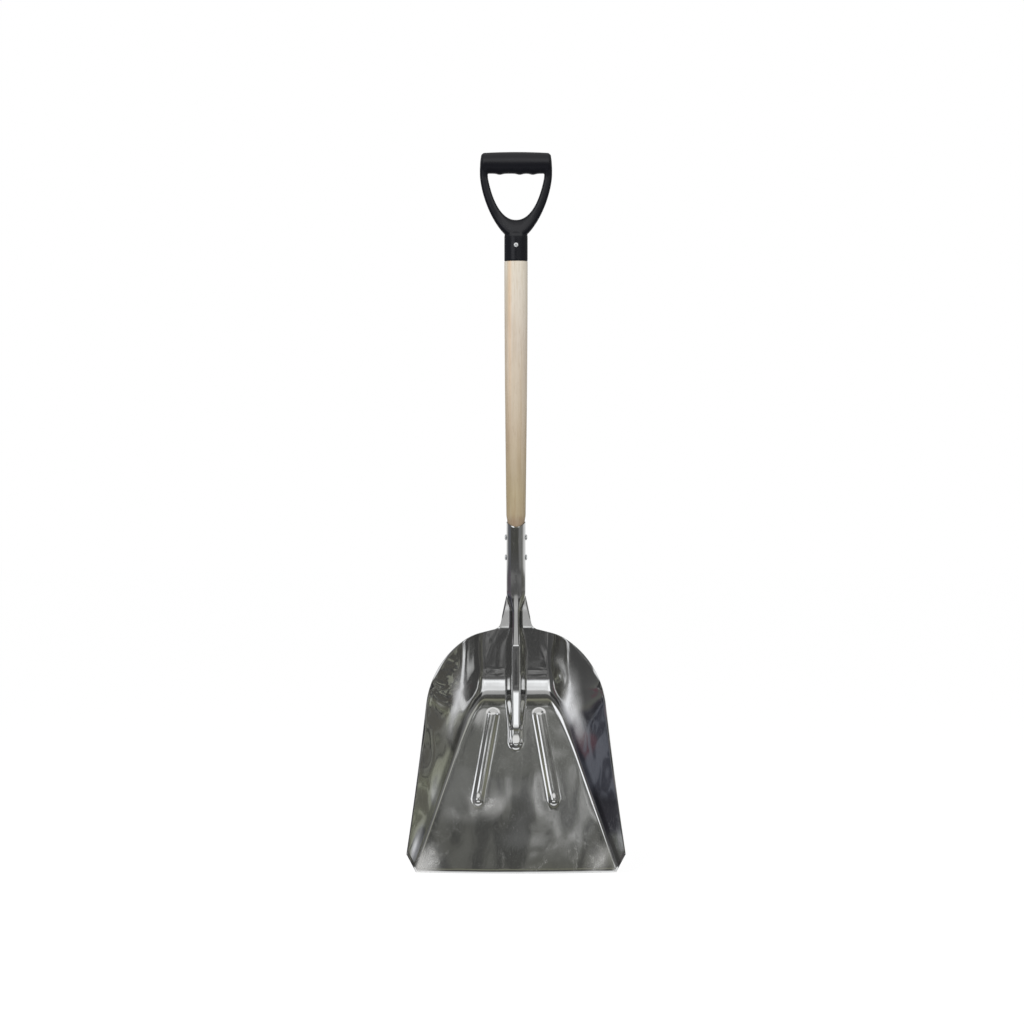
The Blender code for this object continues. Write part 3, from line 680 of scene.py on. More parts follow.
def side_rib_rise(x, z):
    along = SIDE_RIB_FOOT - SIDE_RIB_TOP
    from_top = np.stack((np.abs(x) - SIDE_RIB_TOP[0], z - SIDE_RIB_TOP[1]), -1)
    share = np.clip(from_top @ along / (along @ along), 0.0, 1.0)
    distance = np.linalg.norm(from_top - share[..., None] * along, axis=-1)
    height = SIDE_RIB_HEIGHT + SIDE_RIB_BUMP * nose_bump(np.linalg.norm(from_top - along, axis=-1))
    return height * rib_profile(distance / SIDE_RIB_HALF_WIDTH, SIDE_RIB_FLAT)


def pan_y(x, z):
    """The sheet's middle surface over the pan and neck."""
    side = SIDE_SLOPE * ramp((np.abs(x) - crease_x(z)) * math.cos(CREASE_LEAN), crease_blend(z))
    back = BACK_SLOPE * ramp(z - heel_z(x), HEEL_BLEND)
    wall = floor_y(z) - (side**CORNER_POWER + back**CORNER_POWER) ** (1 / CORNER_POWER)
    beside_neck = np.maximum(0.0, np.abs(x) - NECK_FLAT_HALF_WIDTH)
    neck = NECK_Y - NECK_RAKE * (z - NECK_Z) - NECK_FALL * beside_neck**2
    rounding = NECK_BLEND * smoothstep(HEEL_Z, HEEL_Z + NECK_BLEND_START, z)
    joined = (wall + neck + np.hypot(wall - neck, rounding)) / 2
    wall = np.where(z > HEEL_Z, joined, wall)
    share = np.hypot(x, np.minimum(0.0, z - RIDGE_END_Z)) / ridge_half_width(z)
    bump = nose_bump(z - RIDGE_END_Z + NOSE_BUMP_BACK)
    ridge = (wall - crest_y(z) + bump) * rib_profile(share, RIDGE_FLAT)
    return wall - ridge - side_rib_rise(x, z)


RIDGE_COLUMNS = 14  # of the sheet's grid, from the middle to the ridge's edge


def row_points(z_middle):
    """(x, z) of one row of the sheet's grid, from the middle out to the rim."""
    if z_middle <= NECK_Z:
        rim_x, rim_z = rim_point(z_middle * RIM_TO_NECK / NECK_Z)
    else:
        rim_x, rim_z = rim_point(RIM_TO_NECK + (z_middle - NECK_Z) / math.cos(WING_LEAN))
    crease = min(float(crease_x(z_middle)), LIP_HALF_WIDTH)
    if z_middle > HEEL_Z:
        crease = min(crease, FLOOR_SHARE * rim_x)
    ridge = float(ridge_half_width(z_middle))
    room_outside, room_inside = rim_x - crease, crease - ridge
    blend_in = min(float(crease_blend(z_middle)), 0.3 * room_inside)
    blend_out = min(float(crease_blend(z_middle)), 0.3 * room_outside)
    floor_edge = crease - blend_in
    room = floor_edge - ridge
    along = (z_middle - SIDE_RIB_FOOT[1]) / (SIDE_RIB_TOP[1] - SIDE_RIB_FOOT[1])
    rib = mix(SIDE_RIB_FOOT[0], SIDE_RIB_TOP[0], min(1.0, max(0.0, along)))
    rib = min(rib, ridge + 0.5 * room)
    reach = min(SIDE_RIB_HALF_WIDTH + 0.5, 0.3 * room, 0.8 * (floor_edge - rib))
    xs = np.array(
        spread(
            0.0,
            (ridge, RIDGE_COLUMNS),
            (rib - reach, 5),
            (rib + reach, 18),
            (floor_edge, 6),
            (crease + blend_out, 14),
            (rim_x, 12),
        )
    )
    outside = np.maximum(0.0, (xs - crease) / room_outside)
    bow = LIP_BOW * (1 - smoothstep(0.0, LIP_BOW_FADE, z_middle))
    zs = z_middle + bow * np.minimum(1.0, xs / crease) ** 2
    return xs, zs + (rim_z - zs) * outside


def socket_row(z_middle, count):
    index = np.arange(count)
    past = (index - RIDGE_COLUMNS) / (count - 1 - RIDGE_COLUMNS)
    turn = np.where(
        index <= RIDGE_COLUMNS,
        RIDGE_TURN * index / RIDGE_COLUMNS,
        RIDGE_TURN + (SEAM_ANGLE - RIDGE_TURN) * past,
    )
    dip = MOUTH_DIP * smoothstep(SOCKET_TOP_Z - MOUTH_DEPTH, SOCKET_TOP_Z, z_middle) * np.cos(2 * turn)
    return np.stack((SOCKET_RADIUS * np.sin(turn), -SOCKET_RADIUS * np.cos(turn), z_middle - dip), -1)


def across(row):
    """Lengths and headings of the steps across a row, seen from above."""
    steps = np.diff(row[:, :2], axis=0)
    return np.linalg.norm(steps, axis=1), np.arctan2(steps[:, 1], steps[:, 0])


def wing_headings(z_middle, past_fold, flat_width, flange_width, low, high):
    """Headings across the sheet beyond the ridge.

    The wing stays flat as far as the rim, the rest of the sheet turns back there and curls round the shaft,
    and towards the top all of it closes into the socket.
    """
    curl = mix(RIDGE_TURN, SEAM_ANGLE, np.clip(past_fold / flange_width, 0.0, 1.0))
    fold_radius = max(0.01, min(WING_FOLD_RADIUS, flat_width / 2))
    eased = smoothstep(WING_FLAT_Z, WING_FLAT_Z + WING_FOLD_EASE, z_middle)
    folded = smoothstep(-fold_radius, fold_radius, past_fold) * eased
    closed = smoothstep(SOCKET_ROUND_Z - SOCKET_CLOSING, SOCKET_ROUND_Z, z_middle)
    return mix(mix(low, curl, folded), high, closed)


def throat_row(pan, socket, z_middle):
    """A row between the pan's and the socket's, laid out step by step from the middle."""
    rounded = smoothstep(RIDGE_START_Z, RIDGE_ROUND_Z, z_middle)
    stretched_share = smoothstep(WING_FLAT_Z, SOCKET_ROUND_Z, z_middle)
    low_length, low = across(pan)
    high_length, high = across(socket)
    on_ridge = np.arange(len(low)) < RIDGE_COLUMNS
    length = mix(low_length, high_length, np.where(on_ridge, rounded, stretched_share))
    ridge_heading = mix(low, high, rounded)
    start = mix(pan[0, :2], socket[0, :2], rounded)
    ridge_x = start[0] + np.sum((length * np.cos(ridge_heading))[on_ridge])
    flat_width = max(0.0, pan[-1, 0] - ridge_x)
    beyond_ridge = np.cumsum(np.where(on_ridge, 0.0, length)) - length / 2
    flange_width = max(0.1, beyond_ridge[-1] + length[-1] / 2 - flat_width)
    past_fold = beyond_ridge - flat_width
    wing_heading = wing_headings(z_middle, past_fold, flat_width, flange_width, low, high)
    heading = np.where(on_ridge, ridge_heading, wing_heading)
    steps = np.stack((length * np.cos(heading), length * np.sin(heading)), -1)
    flat = start + np.concatenate(([[0.0, 0.0]], np.cumsum(steps, axis=0)))
    return np.column_stack((flat, mix(pan[:, 2], socket[:, 2], stretched_share)))


def sheet_row(z_middle):
    """One row of the sheet in space, the right half from the middle out."""
    xs, zs = row_points(min(z_middle, SOCKET_ROUND_Z))
    pan = np.stack((xs, pan_y(xs, zs), zs), -1)
    if z_middle <= WING_FLAT_Z:
        return pan
    socket = socket_row(z_middle, len(pan))
    if z_middle >= SOCKET_ROUND_Z:
        return socket
    return throat_row(pan, socket, z_middle)


def sheet_grid():
    """The sheet's middle surface as rows of points, from the lip to the socket's mouth, left to right."""
    heights = spread(
        0.0,
        (LIP_BEVEL, 1),
        (106.0, 20),
        (134.0, 22),
        (200.0, 20),
        (222.0, 20),
        (262.0, 30),
        (330.0, 34),
        (NECK_Z, 36),
        (SOCKET_ROUND_Z, 48),
        (SOCKET_TOP_Z - MOUTH_DEPTH, 10),
        (SOCKET_TOP_Z, 12),
    )
    rows = []
    for height in heights:
        right = sheet_row(height)
        left = right[:0:-1] * np.array((-1.0, 1.0, 1.0))
        rows.append(np.concatenate((left, right)))
    return np.array(rows)


def sharpen_neck(mesh):
    """The press leaves a crisp bend where the back wall meets the neck."""
    bm = bmesh.new()
    bm.from_mesh(mesh)
    for edge in bm.edges:
        height = edge.verts[0].co.z / MM - FRAME_OFFSET.z
        along = edge.verts[1].co - edge.verts[0].co
        level = abs(along.z) < 0.3 * along.length
        at_bend = NECK_Z - 22.0 < height < NECK_Z + 4.0 or abs(height - CREST_BREAK_Z) < 4.0
        if level and at_bend and len(edge.link_faces) == 2:
            if edge.calc_face_angle() > math.radians(5):
                edge.smooth = False
    bm.to_mesh(mesh)
    bm.free()


def thick_sheet(middle):
    """A closed mesh round a grid of middle points, ground thin along its first row."""
    across_sheet, up = np.gradient(middle, axis=1), np.gradient(middle, axis=0)
    back = np.cross(up, across_sheet)
    back /= np.linalg.norm(back, axis=-1, keepdims=True)
    front_side, back_side = middle - back * SHEET / 2, middle + back * SHEET / 2
    front_side[0] = back_side[0] - back[0] * LIP_EDGE
    points = np.concatenate((front_side.reshape(-1, 3), back_side.reshape(-1, 3)))
    rows, columns = middle.shape[:2]
    behind = rows * columns  # from a front point's number to the number of the one behind it
    index = np.arange(behind).reshape(rows, columns)
    low_left, low_right = index[:-1, :-1], index[:-1, 1:]
    up_left, up_right = index[1:, :-1], index[1:, 1:]
    front = np.stack((low_left, low_right, up_right, up_left), -1).reshape(-1, 4)
    rear = np.stack((low_left, up_left, up_right, low_right), -1).reshape(-1, 4) + behind
    edge = np.concatenate((index[0], index[1:, -1], index[-1, -2::-1], index[-2:0:-1, 0]))
    following = np.roll(edge, -1)
    rim = np.stack((edge, edge + behind, following + behind, following), -1)
    mesh = bpy.data.meshes.new("blade")
    mesh.from_pydata(points.tolist(), [], np.concatenate((front, rear, rim)).tolist())
    mesh.validate()
    return mesh


def make_blade(material):
    mesh = modified(
        thick_sheet(sheet_grid()),
        "BEVEL",
        width=EDGE_ROUNDING,
        segments=2,
        limit_method="ANGLE",
        angle_limit=math.radians(50),
        use_clamp_overlap=True,
    )
    mesh.name = "pressed_blade"
    blade = finish_mesh("pressed_blade", mesh, material, ["blade"], sharp=50)
    sharpen_neck(blade.data)


# ---------------- shaft


def make_shaft(material):
    """The turned shaft: a plain foot in the socket, a swelling taper, and a tenon in the grip."""
    taper_foot = SOCKET_TOP_Z + MOUTH_DIP
    profile = [
        (0.5, SHAFT_FOOT_Z),
        (SHAFT_SOCKET_RADIUS - 3.0, SHAFT_FOOT_Z + 0.05),
        (SHAFT_SOCKET_RADIUS - 2.4, SHAFT_FOOT_Z + 0.6),
        (SHAFT_SOCKET_RADIUS - 0.3, SHAFT_FOOT_Z + 5.4),
        (SHAFT_SOCKET_RADIUS, SHAFT_FOOT_Z + 7.0),
        (SHAFT_SOCKET_RADIUS, taper_foot + 0.5),
    ]
    for height in spread(taper_foot + 1.5, (taper_foot + SHAFT_SWELL + 1.0, 6), (GRIP_FOOT_Z - 0.9, 110)):
        swell = smoothstep(taper_foot, taper_foot + SHAFT_SWELL, height)
        along = (height - taper_foot) / (GRIP_FOOT_Z - taper_foot)
        radius = mix(SHAFT_LOW_RADIUS, SHAFT_HIGH_RADIUS, math.sin(along * math.pi / 2))
        profile.append((float(mix(SHAFT_SOCKET_RADIUS, radius, swell)), float(height)))
    profile += [
        (SHAFT_HIGH_RADIUS - 0.5, GRIP_FOOT_Z - 0.35),
        (TENON_RADIUS, GRIP_FOOT_Z - GAP),
        (TENON_RADIUS, BORE_TOP_Z - 1.0),
        (0.5, BORE_TOP_Z - GAP),
    ]
    mesh = mesh_from_bmesh("turned_shaft", turned(profile, 96))
    return finish_mesh("turned_shaft", mesh, material, ["shaft"], sharp=40)


# ---------------- grip


def superellipse(half_x, half_z, centre_z, power, turn):
    """A point (x, z) on the lower right quarter, turn 0 at the bottom and pi/2 at the widest."""
    x = half_x * math.sin(turn) ** (2 / power)
    return Vector((x, 0, centre_z - half_z * math.cos(turn) ** (2 / power)))


def arm_section(inner, outer, inner_depth, outer_depth, segments):
    """A rounded section of the grip's loop; the depths are half depths at its inner and outer edge."""
    middle, half = (inner + outer) / 2, (outer - inner) / 2
    points = []
    for i in range(segments):
        turn = 2 * math.pi * (i + 0.5) / segments
        c, s = math.cos(turn), math.sin(turn)
        wide = math.copysign(abs(c) ** ARM_SQUARENESS, c)
        deep = math.copysign(abs(s) ** ARM_SQUARENESS, s)
        depth = inner_depth + (outer_depth - inner_depth) * (1 + wide) / 2
        points.append(middle + half * wide + Vector((0, depth * deep, 0)))
    return points


def grip_loop(stations, segments):
    """The arms and yoke as one closed loop, closed across the top inside the bar."""
    outer_height = LOOP_SHOULDER_Z - LOOP_BOTTOM_Z
    inner_height = WINDOW_CENTRE_Z - WINDOW_BOTTOM_Z
    right = []
    for i in range(stations + 1):
        turn = math.pi / 2 * i / stations
        inner_turn = turn * WINDOW_TURN
        outer = superellipse(LOOP_HALF_WIDTH, outer_height, LOOP_SHOULDER_Z, LOOP_POWER, turn)
        inner = superellipse(WINDOW_HALF_WIDTH, inner_height, WINDOW_CENTRE_Z, WINDOW_POWER, inner_turn)
        yoke = 1 - float(smoothstep(*YOKE_TURNS, turn))
        right.append((inner, outer, ARM_HALF_DEPTH + yoke, ARM_HALF_DEPTH + YOKE_EXTRA_DEPTH * yoke))
    for inner_x, inner_z, outer_x, outer_z, depth in ARM_TOP:
        right.append((Vector((inner_x, 0, inner_z)), Vector((outer_x, 0, outer_z)), depth, depth))
    left = [
        (Vector((-inner.x, 0, inner.z)), Vector((-outer.x, 0, outer.z)), *depths)
        for inner, outer, *depths in reversed(right[1:])
    ]
    rings = [arm_section(*station, segments) for station in right + left]
    return loft(rings, close_ends=False, close_loop=True)


def finger_bumps(x):
    return sum(math.exp(-(((x - centre) / FINGER_RIDGE_SPREAD) ** 2)) for centre in FINGER_RIDGES)


def grip_bar(stations, segments):
    """The crossbar: slightly crowned on top, with finger ridges underneath."""
    rings = []
    for i in range(stations + 1):
        x = -BAR_HALF_LENGTH + 2 * BAR_HALF_LENGTH * i / stations
        end = float(smoothstep(BAR_HALF_LENGTH - BAR_END, BAR_HALF_LENGTH, abs(x)))
        near_end = 1 - BAR_END_SHARE * end
        top = BAR_RADIUS_Z - BAR_CROWN * (x / BAR_HALF_LENGTH) ** 2
        bottom = BAR_RADIUS_Z - BAR_FLAT + FINGER_RIDGE_HEIGHT * finger_bumps(x)
        ring = []
        for k in range(segments):
            turn = 2 * math.pi * k / segments
            up = math.sin(turn)
            radius = mix(top, bottom, float(smoothstep(0.0, 1.0, -up)))
            ring.append((x, BAR_RADIUS_Y * math.cos(turn) * near_end, BAR_Z + radius * up * near_end))
        rings.append(ring)
    return loft(rings)


def grip_tube(segments):
    """The hollow tube over the shaft's tenon, closed at its top inside the yoke."""
    outside = [
        (BORE_RADIUS + 0.4, GRIP_FOOT_Z),
        (GRIP_TUBE_RADIUS - 0.5, GRIP_FOOT_Z),
        (GRIP_TUBE_RADIUS, GRIP_FOOT_Z + 0.6),
        (GRIP_TUBE_RADIUS, BORE_TOP_Z + 5),
        (GRIP_TUBE_RADIUS - 1, BORE_TOP_Z + 9),
        (GRIP_TUBE_RADIUS - 4.5, BORE_TOP_Z + 13),
        (GRIP_TUBE_RADIUS - 11, BORE_TOP_Z + 19),
    ]
    bore_top = [(BORE_RADIUS - 6, BORE_TOP_Z - 0.2), (BORE_RADIUS, BORE_TOP_Z)]
    inside = bore_top + [(BORE_RADIUS, GRIP_FOOT_Z + 0.4)]
    shell = loft([circle(radius, z, segments) for radius, z in outside], close_ends=False)
    mouth, top = list(shell.verts)[:segments], list(shell.verts)[-segments:]
    shell.faces.new(top)
    bore = [[shell.verts.new(point) for point in circle(radius, z, segments)] for radius, z in inside]
    shell.faces.new(reversed(bore[0]))
    for upper, lower in zip(bore, bore[1:] + [mouth]):
        for i in range(segments):
            j = (i + 1) % segments
            shell.faces.new((upper[i], upper[j], lower[j], lower[i]))
    return shell


def joined_mesh(name, *parts):
    """One mesh holding several closed bmeshes."""
    whole = bmesh.new()
    for part in parts:
        bmesh.ops.recalc_face_normals(part, faces=part.faces)
        piece = bpy.data.meshes.new("piece")
        part.to_mesh(piece)
        part.free()
        whole.from_mesh(piece)
        bpy.data.meshes.remove(piece)
    mesh = bpy.data.meshes.new(name)
    whole.to_mesh(mesh)
    whole.free()
    return mesh


def make_grip(material):
    """The loop, bar and tube grown into one moulding, with small fillets where they meet."""
    mesh = joined_mesh("moulded_grip", grip_loop(48, 48), grip_bar(140, 72), grip_tube(128))
    mesh = modified(mesh, "REMESH", mode="VOXEL", voxel_size=0.75, use_smooth_shade=True)
    mesh = modified(mesh, "SMOOTH", factor=0.5, iterations=7)
    return finish_mesh("moulded_grip", mesh, material, ["d_grip"])


# ---------------- fasteners


def along_x(bm, height):
    """Turns a solid made about Z to lie along X at this height."""
    for vert in bm.verts:
        vert.co = Vector((vert.co.z, -vert.co.y, vert.co.x + height))
    return bm


def along_y(bm, height):
    """Turns a solid made about Z to point along -Y at this height."""
    for vert in bm.verts:
        vert.co = Vector((vert.co.x, -vert.co.z, vert.co.y + height))
    return bm


def make_rivet(name, height, material):
    """A peened cross rivet: a shank with a domed head at each side."""
    seat = SOCKET_RADIUS + SHEET / 2 + GAP
    dome_foot = seat + 0.2
    half = [(RIVET_RADIUS, seat), (RIVET_HEAD_RADIUS - 0.25, seat), (RIVET_HEAD_RADIUS - 0.03, seat + 0.25)]
    for i in range(1, 12):
        turn = i * math.pi / 2 / 12
        radius = RIVET_HEAD_RADIUS * math.cos(turn) ** 0.9
        half.append((radius, dome_foot + RIVET_HEAD_HEIGHT * math.sin(turn)))
    half.append((0.3, dome_foot + RIVET_HEAD_HEIGHT + 0.01))
    profile = [(radius, -z) for radius, z in reversed(half)] + half
    mesh = mesh_from_bmesh(name, along_x(turned(profile, 40), height))
    return finish_mesh(name + "_peened", mesh, material, [name], sharp=50)


def screw_recess(seat):
    """A cross-shaped cutter that narrows towards its floor."""
    half = RECESS_HALF_WIDTH
    cross = []
    for quarter in range(4):
        turn = quarter * math.pi / 2 + RECESS_TURN
        c, s = math.cos(turn), math.sin(turn)
        for x, y in ((RECESS_ARM, -half), (RECESS_ARM, half), (half, half)):
            cross.append((x * c - y * s, x * s + y * c))
    floor = seat + 0.7
    recess = loft([[(0.6 * x, 0.6 * y, floor) for x, y in cross], [(x, y, floor + 4) for x, y in cross]])
    return along_y(recess, SCREW_Z)


def make_screw(material):
    """A pan-head screw with a cross recess."""
    seat = GRIP_TUBE_RADIUS + 0.4
    dome_foot = seat + 0.5
    profile = [
        (0.3, seat - SCREW_LENGTH),
        (SCREW_RADIUS, seat - SCREW_LENGTH + SCREW_POINT),
        (SCREW_RADIUS, seat),
        (SCREW_HEAD_RADIUS - 0.35, seat),
        (SCREW_HEAD_RADIUS, seat + 0.3),
    ]
    for i in range(10):
        turn = i * math.pi / 2 / 10
        radius = SCREW_HEAD_RADIUS * math.cos(turn) ** 0.6
        profile.append((radius, dome_foot + SCREW_HEAD_HEIGHT * math.sin(turn)))
    profile.append((0.3, dome_foot + SCREW_HEAD_HEIGHT))
    mesh = mesh_from_bmesh("cross_screw", along_y(turned(profile, 48), SCREW_Z))
    cutter = placed("recess", mesh_from_bmesh("recess", screw_recess(seat)))
    mesh = modified(mesh, "BOOLEAN", operation="DIFFERENCE", object=cutter, solver="EXACT")
    bpy.data.objects.remove(cutter)
    return finish_mesh("cross_screw", mesh, material, ["grip_screw"], sharp=35)


# ---------------- studio


def reflected_room():
    """A ball round the tool that only reflections see: floor glow, dim walls, window cards and odd shapes."""
    bm = bmesh.new()
    bmesh.ops.create_icosphere(bm, subdivisions=4, radius=ROOM_RADIUS)
    mesh = bpy.data.meshes.new("reflected_room")
    bm.to_mesh(mesh)
    bm.free()
    mesh.shade_smooth()
    ball = placed("reflected_room", mesh)
    ball.location = ROOM_CENTRE
    for ray in ("camera", "diffuse", "transmission", "volume_scatter", "shadow"):
        setattr(ball, "visible_" + ray, False)
    mesh.materials.append(room_material())


AHEAD_STOPS = (  # (elevation in degrees, colour or grey level)
    (-90.0, 0.045),
    (-44.0, 0.075),
    (-37.0, 0.16),
    (-33.0, (1.25, 1.27, 1.3)),
    (-14.0, (1.35, 1.37, 1.4)),
    (-10.0, 0.50),
    (-2.2, 0.42),
    (-0.8, 0.10),
    (8.0, (0.075, 0.075, 0.068)),
    (11.0, (0.27, 0.27, 0.21)),
    (15.0, (0.16, 0.16, 0.13)),
    (21.0, (0.130, 0.131, 0.120)),
    (27.0, (0.145, 0.147, 0.137)),
    (32.0, (0.16, 0.163, 0.152)),
    (36.0, 0.90),
    (59.0, 0.95),
    (66.0, 0.60),
    (90.0, 0.50),
)
RIGHT_STOPS = (
    (-90.0, 0.05),
    (-45.0, 0.08),
    (-22.0, 0.10),
    (-16.0, 0.12),
    (-12.0, (0.20, 0.205, 0.17)),
    (-9.0, (0.235, 0.245, 0.185)),
    (-6.0, (0.165, 0.165, 0.15)),
    (-1.5, (0.13, 0.13, 0.13)),
    (0.5, 0.21),
    (10.0, 0.20),
    (40.0, 0.20),
    (90.0, 0.6),
)
LEFT_STOPS = (
    (-90.0, 0.05),
    (-45.0, 0.08),
    (-22.0, 0.10),
    (-15.0, (0.12, 0.125, 0.115)),
    (-12.5, (0.05, 0.05, 0.06)),
    (-10.0, (0.030, 0.030, 0.036)),
    (-7.0, (0.050, 0.052, 0.066)),
    (-4.6, (0.070, 0.072, 0.088)),
    (-4.0, (0.115, 0.066, 0.080)),
    (-1.5, (0.105, 0.064, 0.078)),
    (0.5, (0.09, 0.09, 0.095)),
    (10.0, 0.10),
    (40.0, 0.18),
    (90.0, 0.6),
)
BEHIND_STOPS = (
    (-90.0, 0.35),
    (-40.0, 0.45),
    (-8.0, 0.95),
    (8.0, 0.95),
    (16.0, 0.30),
    (50.0, 0.22),
    (90.0, 0.6),
)


def sky_ramp(elevation, stops):
    return colour_ramp(elevation, -90.0, 90.0, stops)


def room_ahead(elevation, azimuth, aside, blotches, wobble):
    """What the pan faces: a mottled dark underside, a patchy bright band and dark flanks."""
    under = times(rise(elevation, -38.0, -46.0), rise(blotches, 0.44, 0.62), 0.75)
    patchy = times(rise(wobble, 0.60, 0.40), band(elevation, -34.0, -13.0, 3.0), 0.5)
    flank = times(band(aside, 20.0, 64.0, 4.0), band(elevation, -13.0, -2.0, 1.5))
    right_of_tube = times(rise(azimuth, 22.0, 48.0), band(elevation, 0.0, 8.5, 1.0))
    return layered(
        sky_ramp(elevation, AHEAD_STOPS),
        (under, 0.34),
        (patchy, 0.45),
        (flank, 0.045),
        (right_of_tube, 0.20),
    )


def room_right(wobbled, shapes):
    """Olive surroundings with dark outlines and light shapes."""
    return layered(
        sky_ramp(wobbled, RIGHT_STOPS),
        (times(band(shapes, 0.44, 0.475, 0.012), 0.85), 0.03),
        (times(rise(shapes, 0.50, 0.53), 0.6), (0.09, 0.085, 0.07)),
        (times(rise(shapes, 0.42, 0.38), 0.6), (0.36, 0.37, 0.30)),
    )


def room_left(elevation, wobbled, aside, shapes, wobble):
    """Dark surroundings with blue-grey shapes and a little dull red."""
    mottle = times(rise(shapes, 0.48, 0.53), rise(wobbled, -10.0, -7.5), 0.7)
    red = times(band(aside, 60.0, 74.0, 3.0), band(elevation, -24.0, -13.0, 3.0))
    red = times(red, rise(wobble, 0.58, 0.42))
    colour = sky_ramp(wobbled, LEFT_STOPS)
    return layered(colour, (mottle, (0.16, 0.17, 0.20)), (red, (0.12, 0.062, 0.078)))


def floor_streaks(place, x, y, elevation):
    """Upright light and dark streaks, as (factor, colour) layers."""
    streaks = noise(stretched(place, (1.0, 1.0, 0.16)), 9.0, 4.0, 0.6, 0.5)
    ahead = rise(y, -0.2, -0.6)
    over_lip = band(elevation, 19.0, 30.0, 3.0)
    bright = times(rise(streaks, 0.50, 0.68), over_lip, ahead, rise(x, -0.04, 0.06), 0.8)
    dark = times(rise(streaks, 0.49, 0.38), band(elevation, 15.0, 33.0, 2.0), 0.7)
    return (bright, 0.60), (dark, 0.05)


def light_cards(elevation, azimuth, aside):
    """A window, its dim twin and a low card ahead, as (factor, colour) layers."""
    dim = times(band(azimuth, 23.0, 44.0, 3.0), band(elevation, 9.5, 26.0, 2.0), 0.35)
    window = times(band(azimuth, -48.0, -16.0, 3.0), band(elevation, 10.5, 31.0, 2.0))
    card = times(band(azimuth, -17.0, 20.0, 4.0), band(elevation, 25.2, 28.6, 0.8))
    card = times(card, plus(0.05, times(rise(aside, 9.0, 13.0), 0.95)))
    return (dim, (1.0, 1.01, 1.0)), (window, (1.25, 1.27, 1.32)), (card, (1.1, 1.12, 1.15))


def room_material():
    """The room by direction: elevation up from level, azimuth to the right of the pan's open side."""
    material = bpy.data.materials.new("reflected_room")
    tree = emptied_tree(material)
    place = node(tree, "ShaderNodeTexCoord").outputs["Object"]
    direction = node(tree, "ShaderNodeVectorMath", {0: place}, operation="NORMALIZE").outputs[0]
    x, y, z = axes(direction)
    elevation = times(calc("ARCSINE", z), 180 / math.pi)
    azimuth = times(calc("ARCTAN2", x, times(y, -1.0)), 180 / math.pi)
    aside = calc("ABSOLUTE", azimuth)
    wobble = noise(place, 1.6, 2.0)
    wobbled = plus(elevation, times(calc("SUBTRACT", wobble, 0.5), 5.0))
    shapes = noise(stretched(place, (1.0, 1.0, 0.8)), 8.0, 1.0, 0.4, 1.0)
    blotches = noise(place, 9.0, 4.0, 0.65, 1.2)

    ahead = room_ahead(elevation, azimuth, aside, blotches, wobble)
    right = room_right(wobbled, shapes)
    left = room_left(elevation, wobbled, aside, shapes, wobble)
    low_side = times(rise(elevation, -10.0, -14.0), rise(aside, 26.0, 38.0))
    side = calc("MAXIMUM", rise(aside, 58.0, 70.0), low_side)
    colour = blend(side, ahead, blend(rise(x, -0.01, 0.01), left, right))

    past_right, past_left = rise(azimuth, 74.0, 120.0), rise(azimuth, -92.0, -150.0)
    past_side = calc("MAXIMUM", past_right, past_left)
    over_shoulder = times(past_side, band(elevation, 0.5, 14.0, 1.5))
    corner_glow = times(band(aside, 80.0, 92.0, 3.0), band(elevation, -36.0, -12.0, 4.0))
    colour = layered(
        colour,
        (over_shoulder, 0.75),
        (rise(aside, 132.0, 150.0), sky_ramp(elevation, BEHIND_STOPS)),
        (corner_glow, (0.95, 0.97, 1.02)),
        *floor_streaks(place, x, y, elevation),
        *light_cards(elevation, azimuth, aside),
    )
    glow = node(tree, "ShaderNodeEmission", {"Color": colour, "Strength": 1.0})
    node(tree, "ShaderNodeOutputMaterial", {"Surface": glow.outputs[0]})
    return material


def make_world():
    """White for the camera, and soft daylight for everything matt."""
    world = bpy.data.worlds.new("studio")
    bpy.context.scene.world = world
    tree = emptied_tree(world)
    seen = node(tree, "ShaderNodeLightPath").outputs["Is Camera Ray"]
    strength = plus(0.62, times(seen, 0.38))
    sky = node(tree, "ShaderNodeBackground", {"Color": rgba(1.0), "Strength": strength})
    node(tree, "ShaderNodeOutputWorld", {"Surface": sky.outputs[0]})


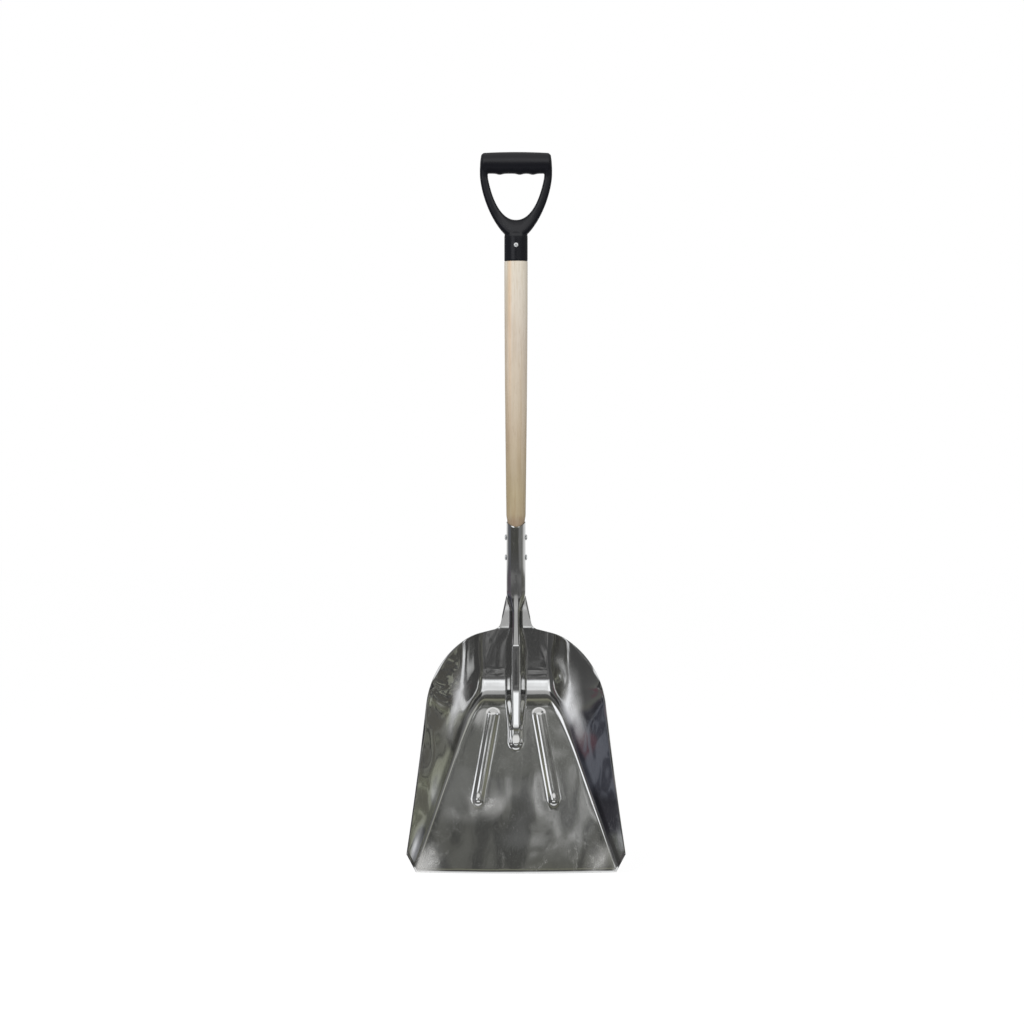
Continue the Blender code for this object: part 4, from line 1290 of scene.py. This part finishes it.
def make_floor():
    """A pale floor that melts into the white background, with only a breath of contact shadow."""
    material = bpy.data.materials.new("studio_floor")
    tree = emptied_tree(material)
    glow = node(tree, "ShaderNodeEmission", {"Color": rgba(1.0), "Strength": 0.93})
    matt = node(tree, "ShaderNodeBsdfDiffuse", {"Color": rgba(0.11)})
    both = node(tree, "ShaderNodeAddShader", {0: glow.outputs[0], 1: matt.outputs[0]})
    node(tree, "ShaderNodeOutputMaterial", {"Surface": both.outputs[0]})
    bm = bmesh.new()
    bmesh.ops.create_grid(bm, x_segments=4, y_segments=4, size=30.0)
    mesh = bpy.data.meshes.new("studio_floor")
    bm.to_mesh(mesh)
    bm.free()
    mesh.materials.append(material)
    floor = placed("studio_floor", mesh)
    floor.location.z = -0.0005
    floor.visible_glossy = False


def make_light(name, place, target, size, energy):
    """A soft round lamp that reflections do not show."""
    light = bpy.data.lights.new(name, "AREA")
    light.shape = "DISK"
    light.size = size
    light.energy = energy
    lamp = placed(name, light)
    lamp.location = place
    lamp.rotation_euler = (Vector(target) - Vector(place)).to_track_quat("-Z", "Y").to_euler()
    lamp.visible_glossy = False


def make_camera():
    """Level with the middle of the tool, square to the pan."""
    camera = bpy.data.cameras.new("camera")
    camera.sensor_width = 36.0
    camera.lens = camera.sensor_width * CAMERA_DISTANCE / PICTURE_WIDTH
    holder = placed("camera", camera)
    shaft_y = FRAME_OFFSET.y * MM
    holder.location = (CAMERA_X, shaft_y - CAMERA_DISTANCE, CAMERA_Z)
    holder.rotation_euler = (math.pi / 2, 0.0, 0.0)
    bpy.context.scene.camera = holder


def main():
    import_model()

    make_blade(steel_material())
    make_shaft(wood_material())
    make_grip(plastic_material())
    zinc = zinc_material()
    make_screw(zinc)
    for name, height in RIVETS.items():
        make_rivet(name, height, zinc)

    reflected_room()
    make_world()
    make_floor()
    make_light("key", (-1.2, -2.6, 2.2), (0.0, 0.0, 0.7), 1.6, 60.0)
    make_light("fill", (1.8, -2.2, 0.9), (0.0, 0.0, 0.7), 1.4, 14.0)
    make_camera()
    bpy.context.scene.view_settings.view_transform = "Standard"


main()
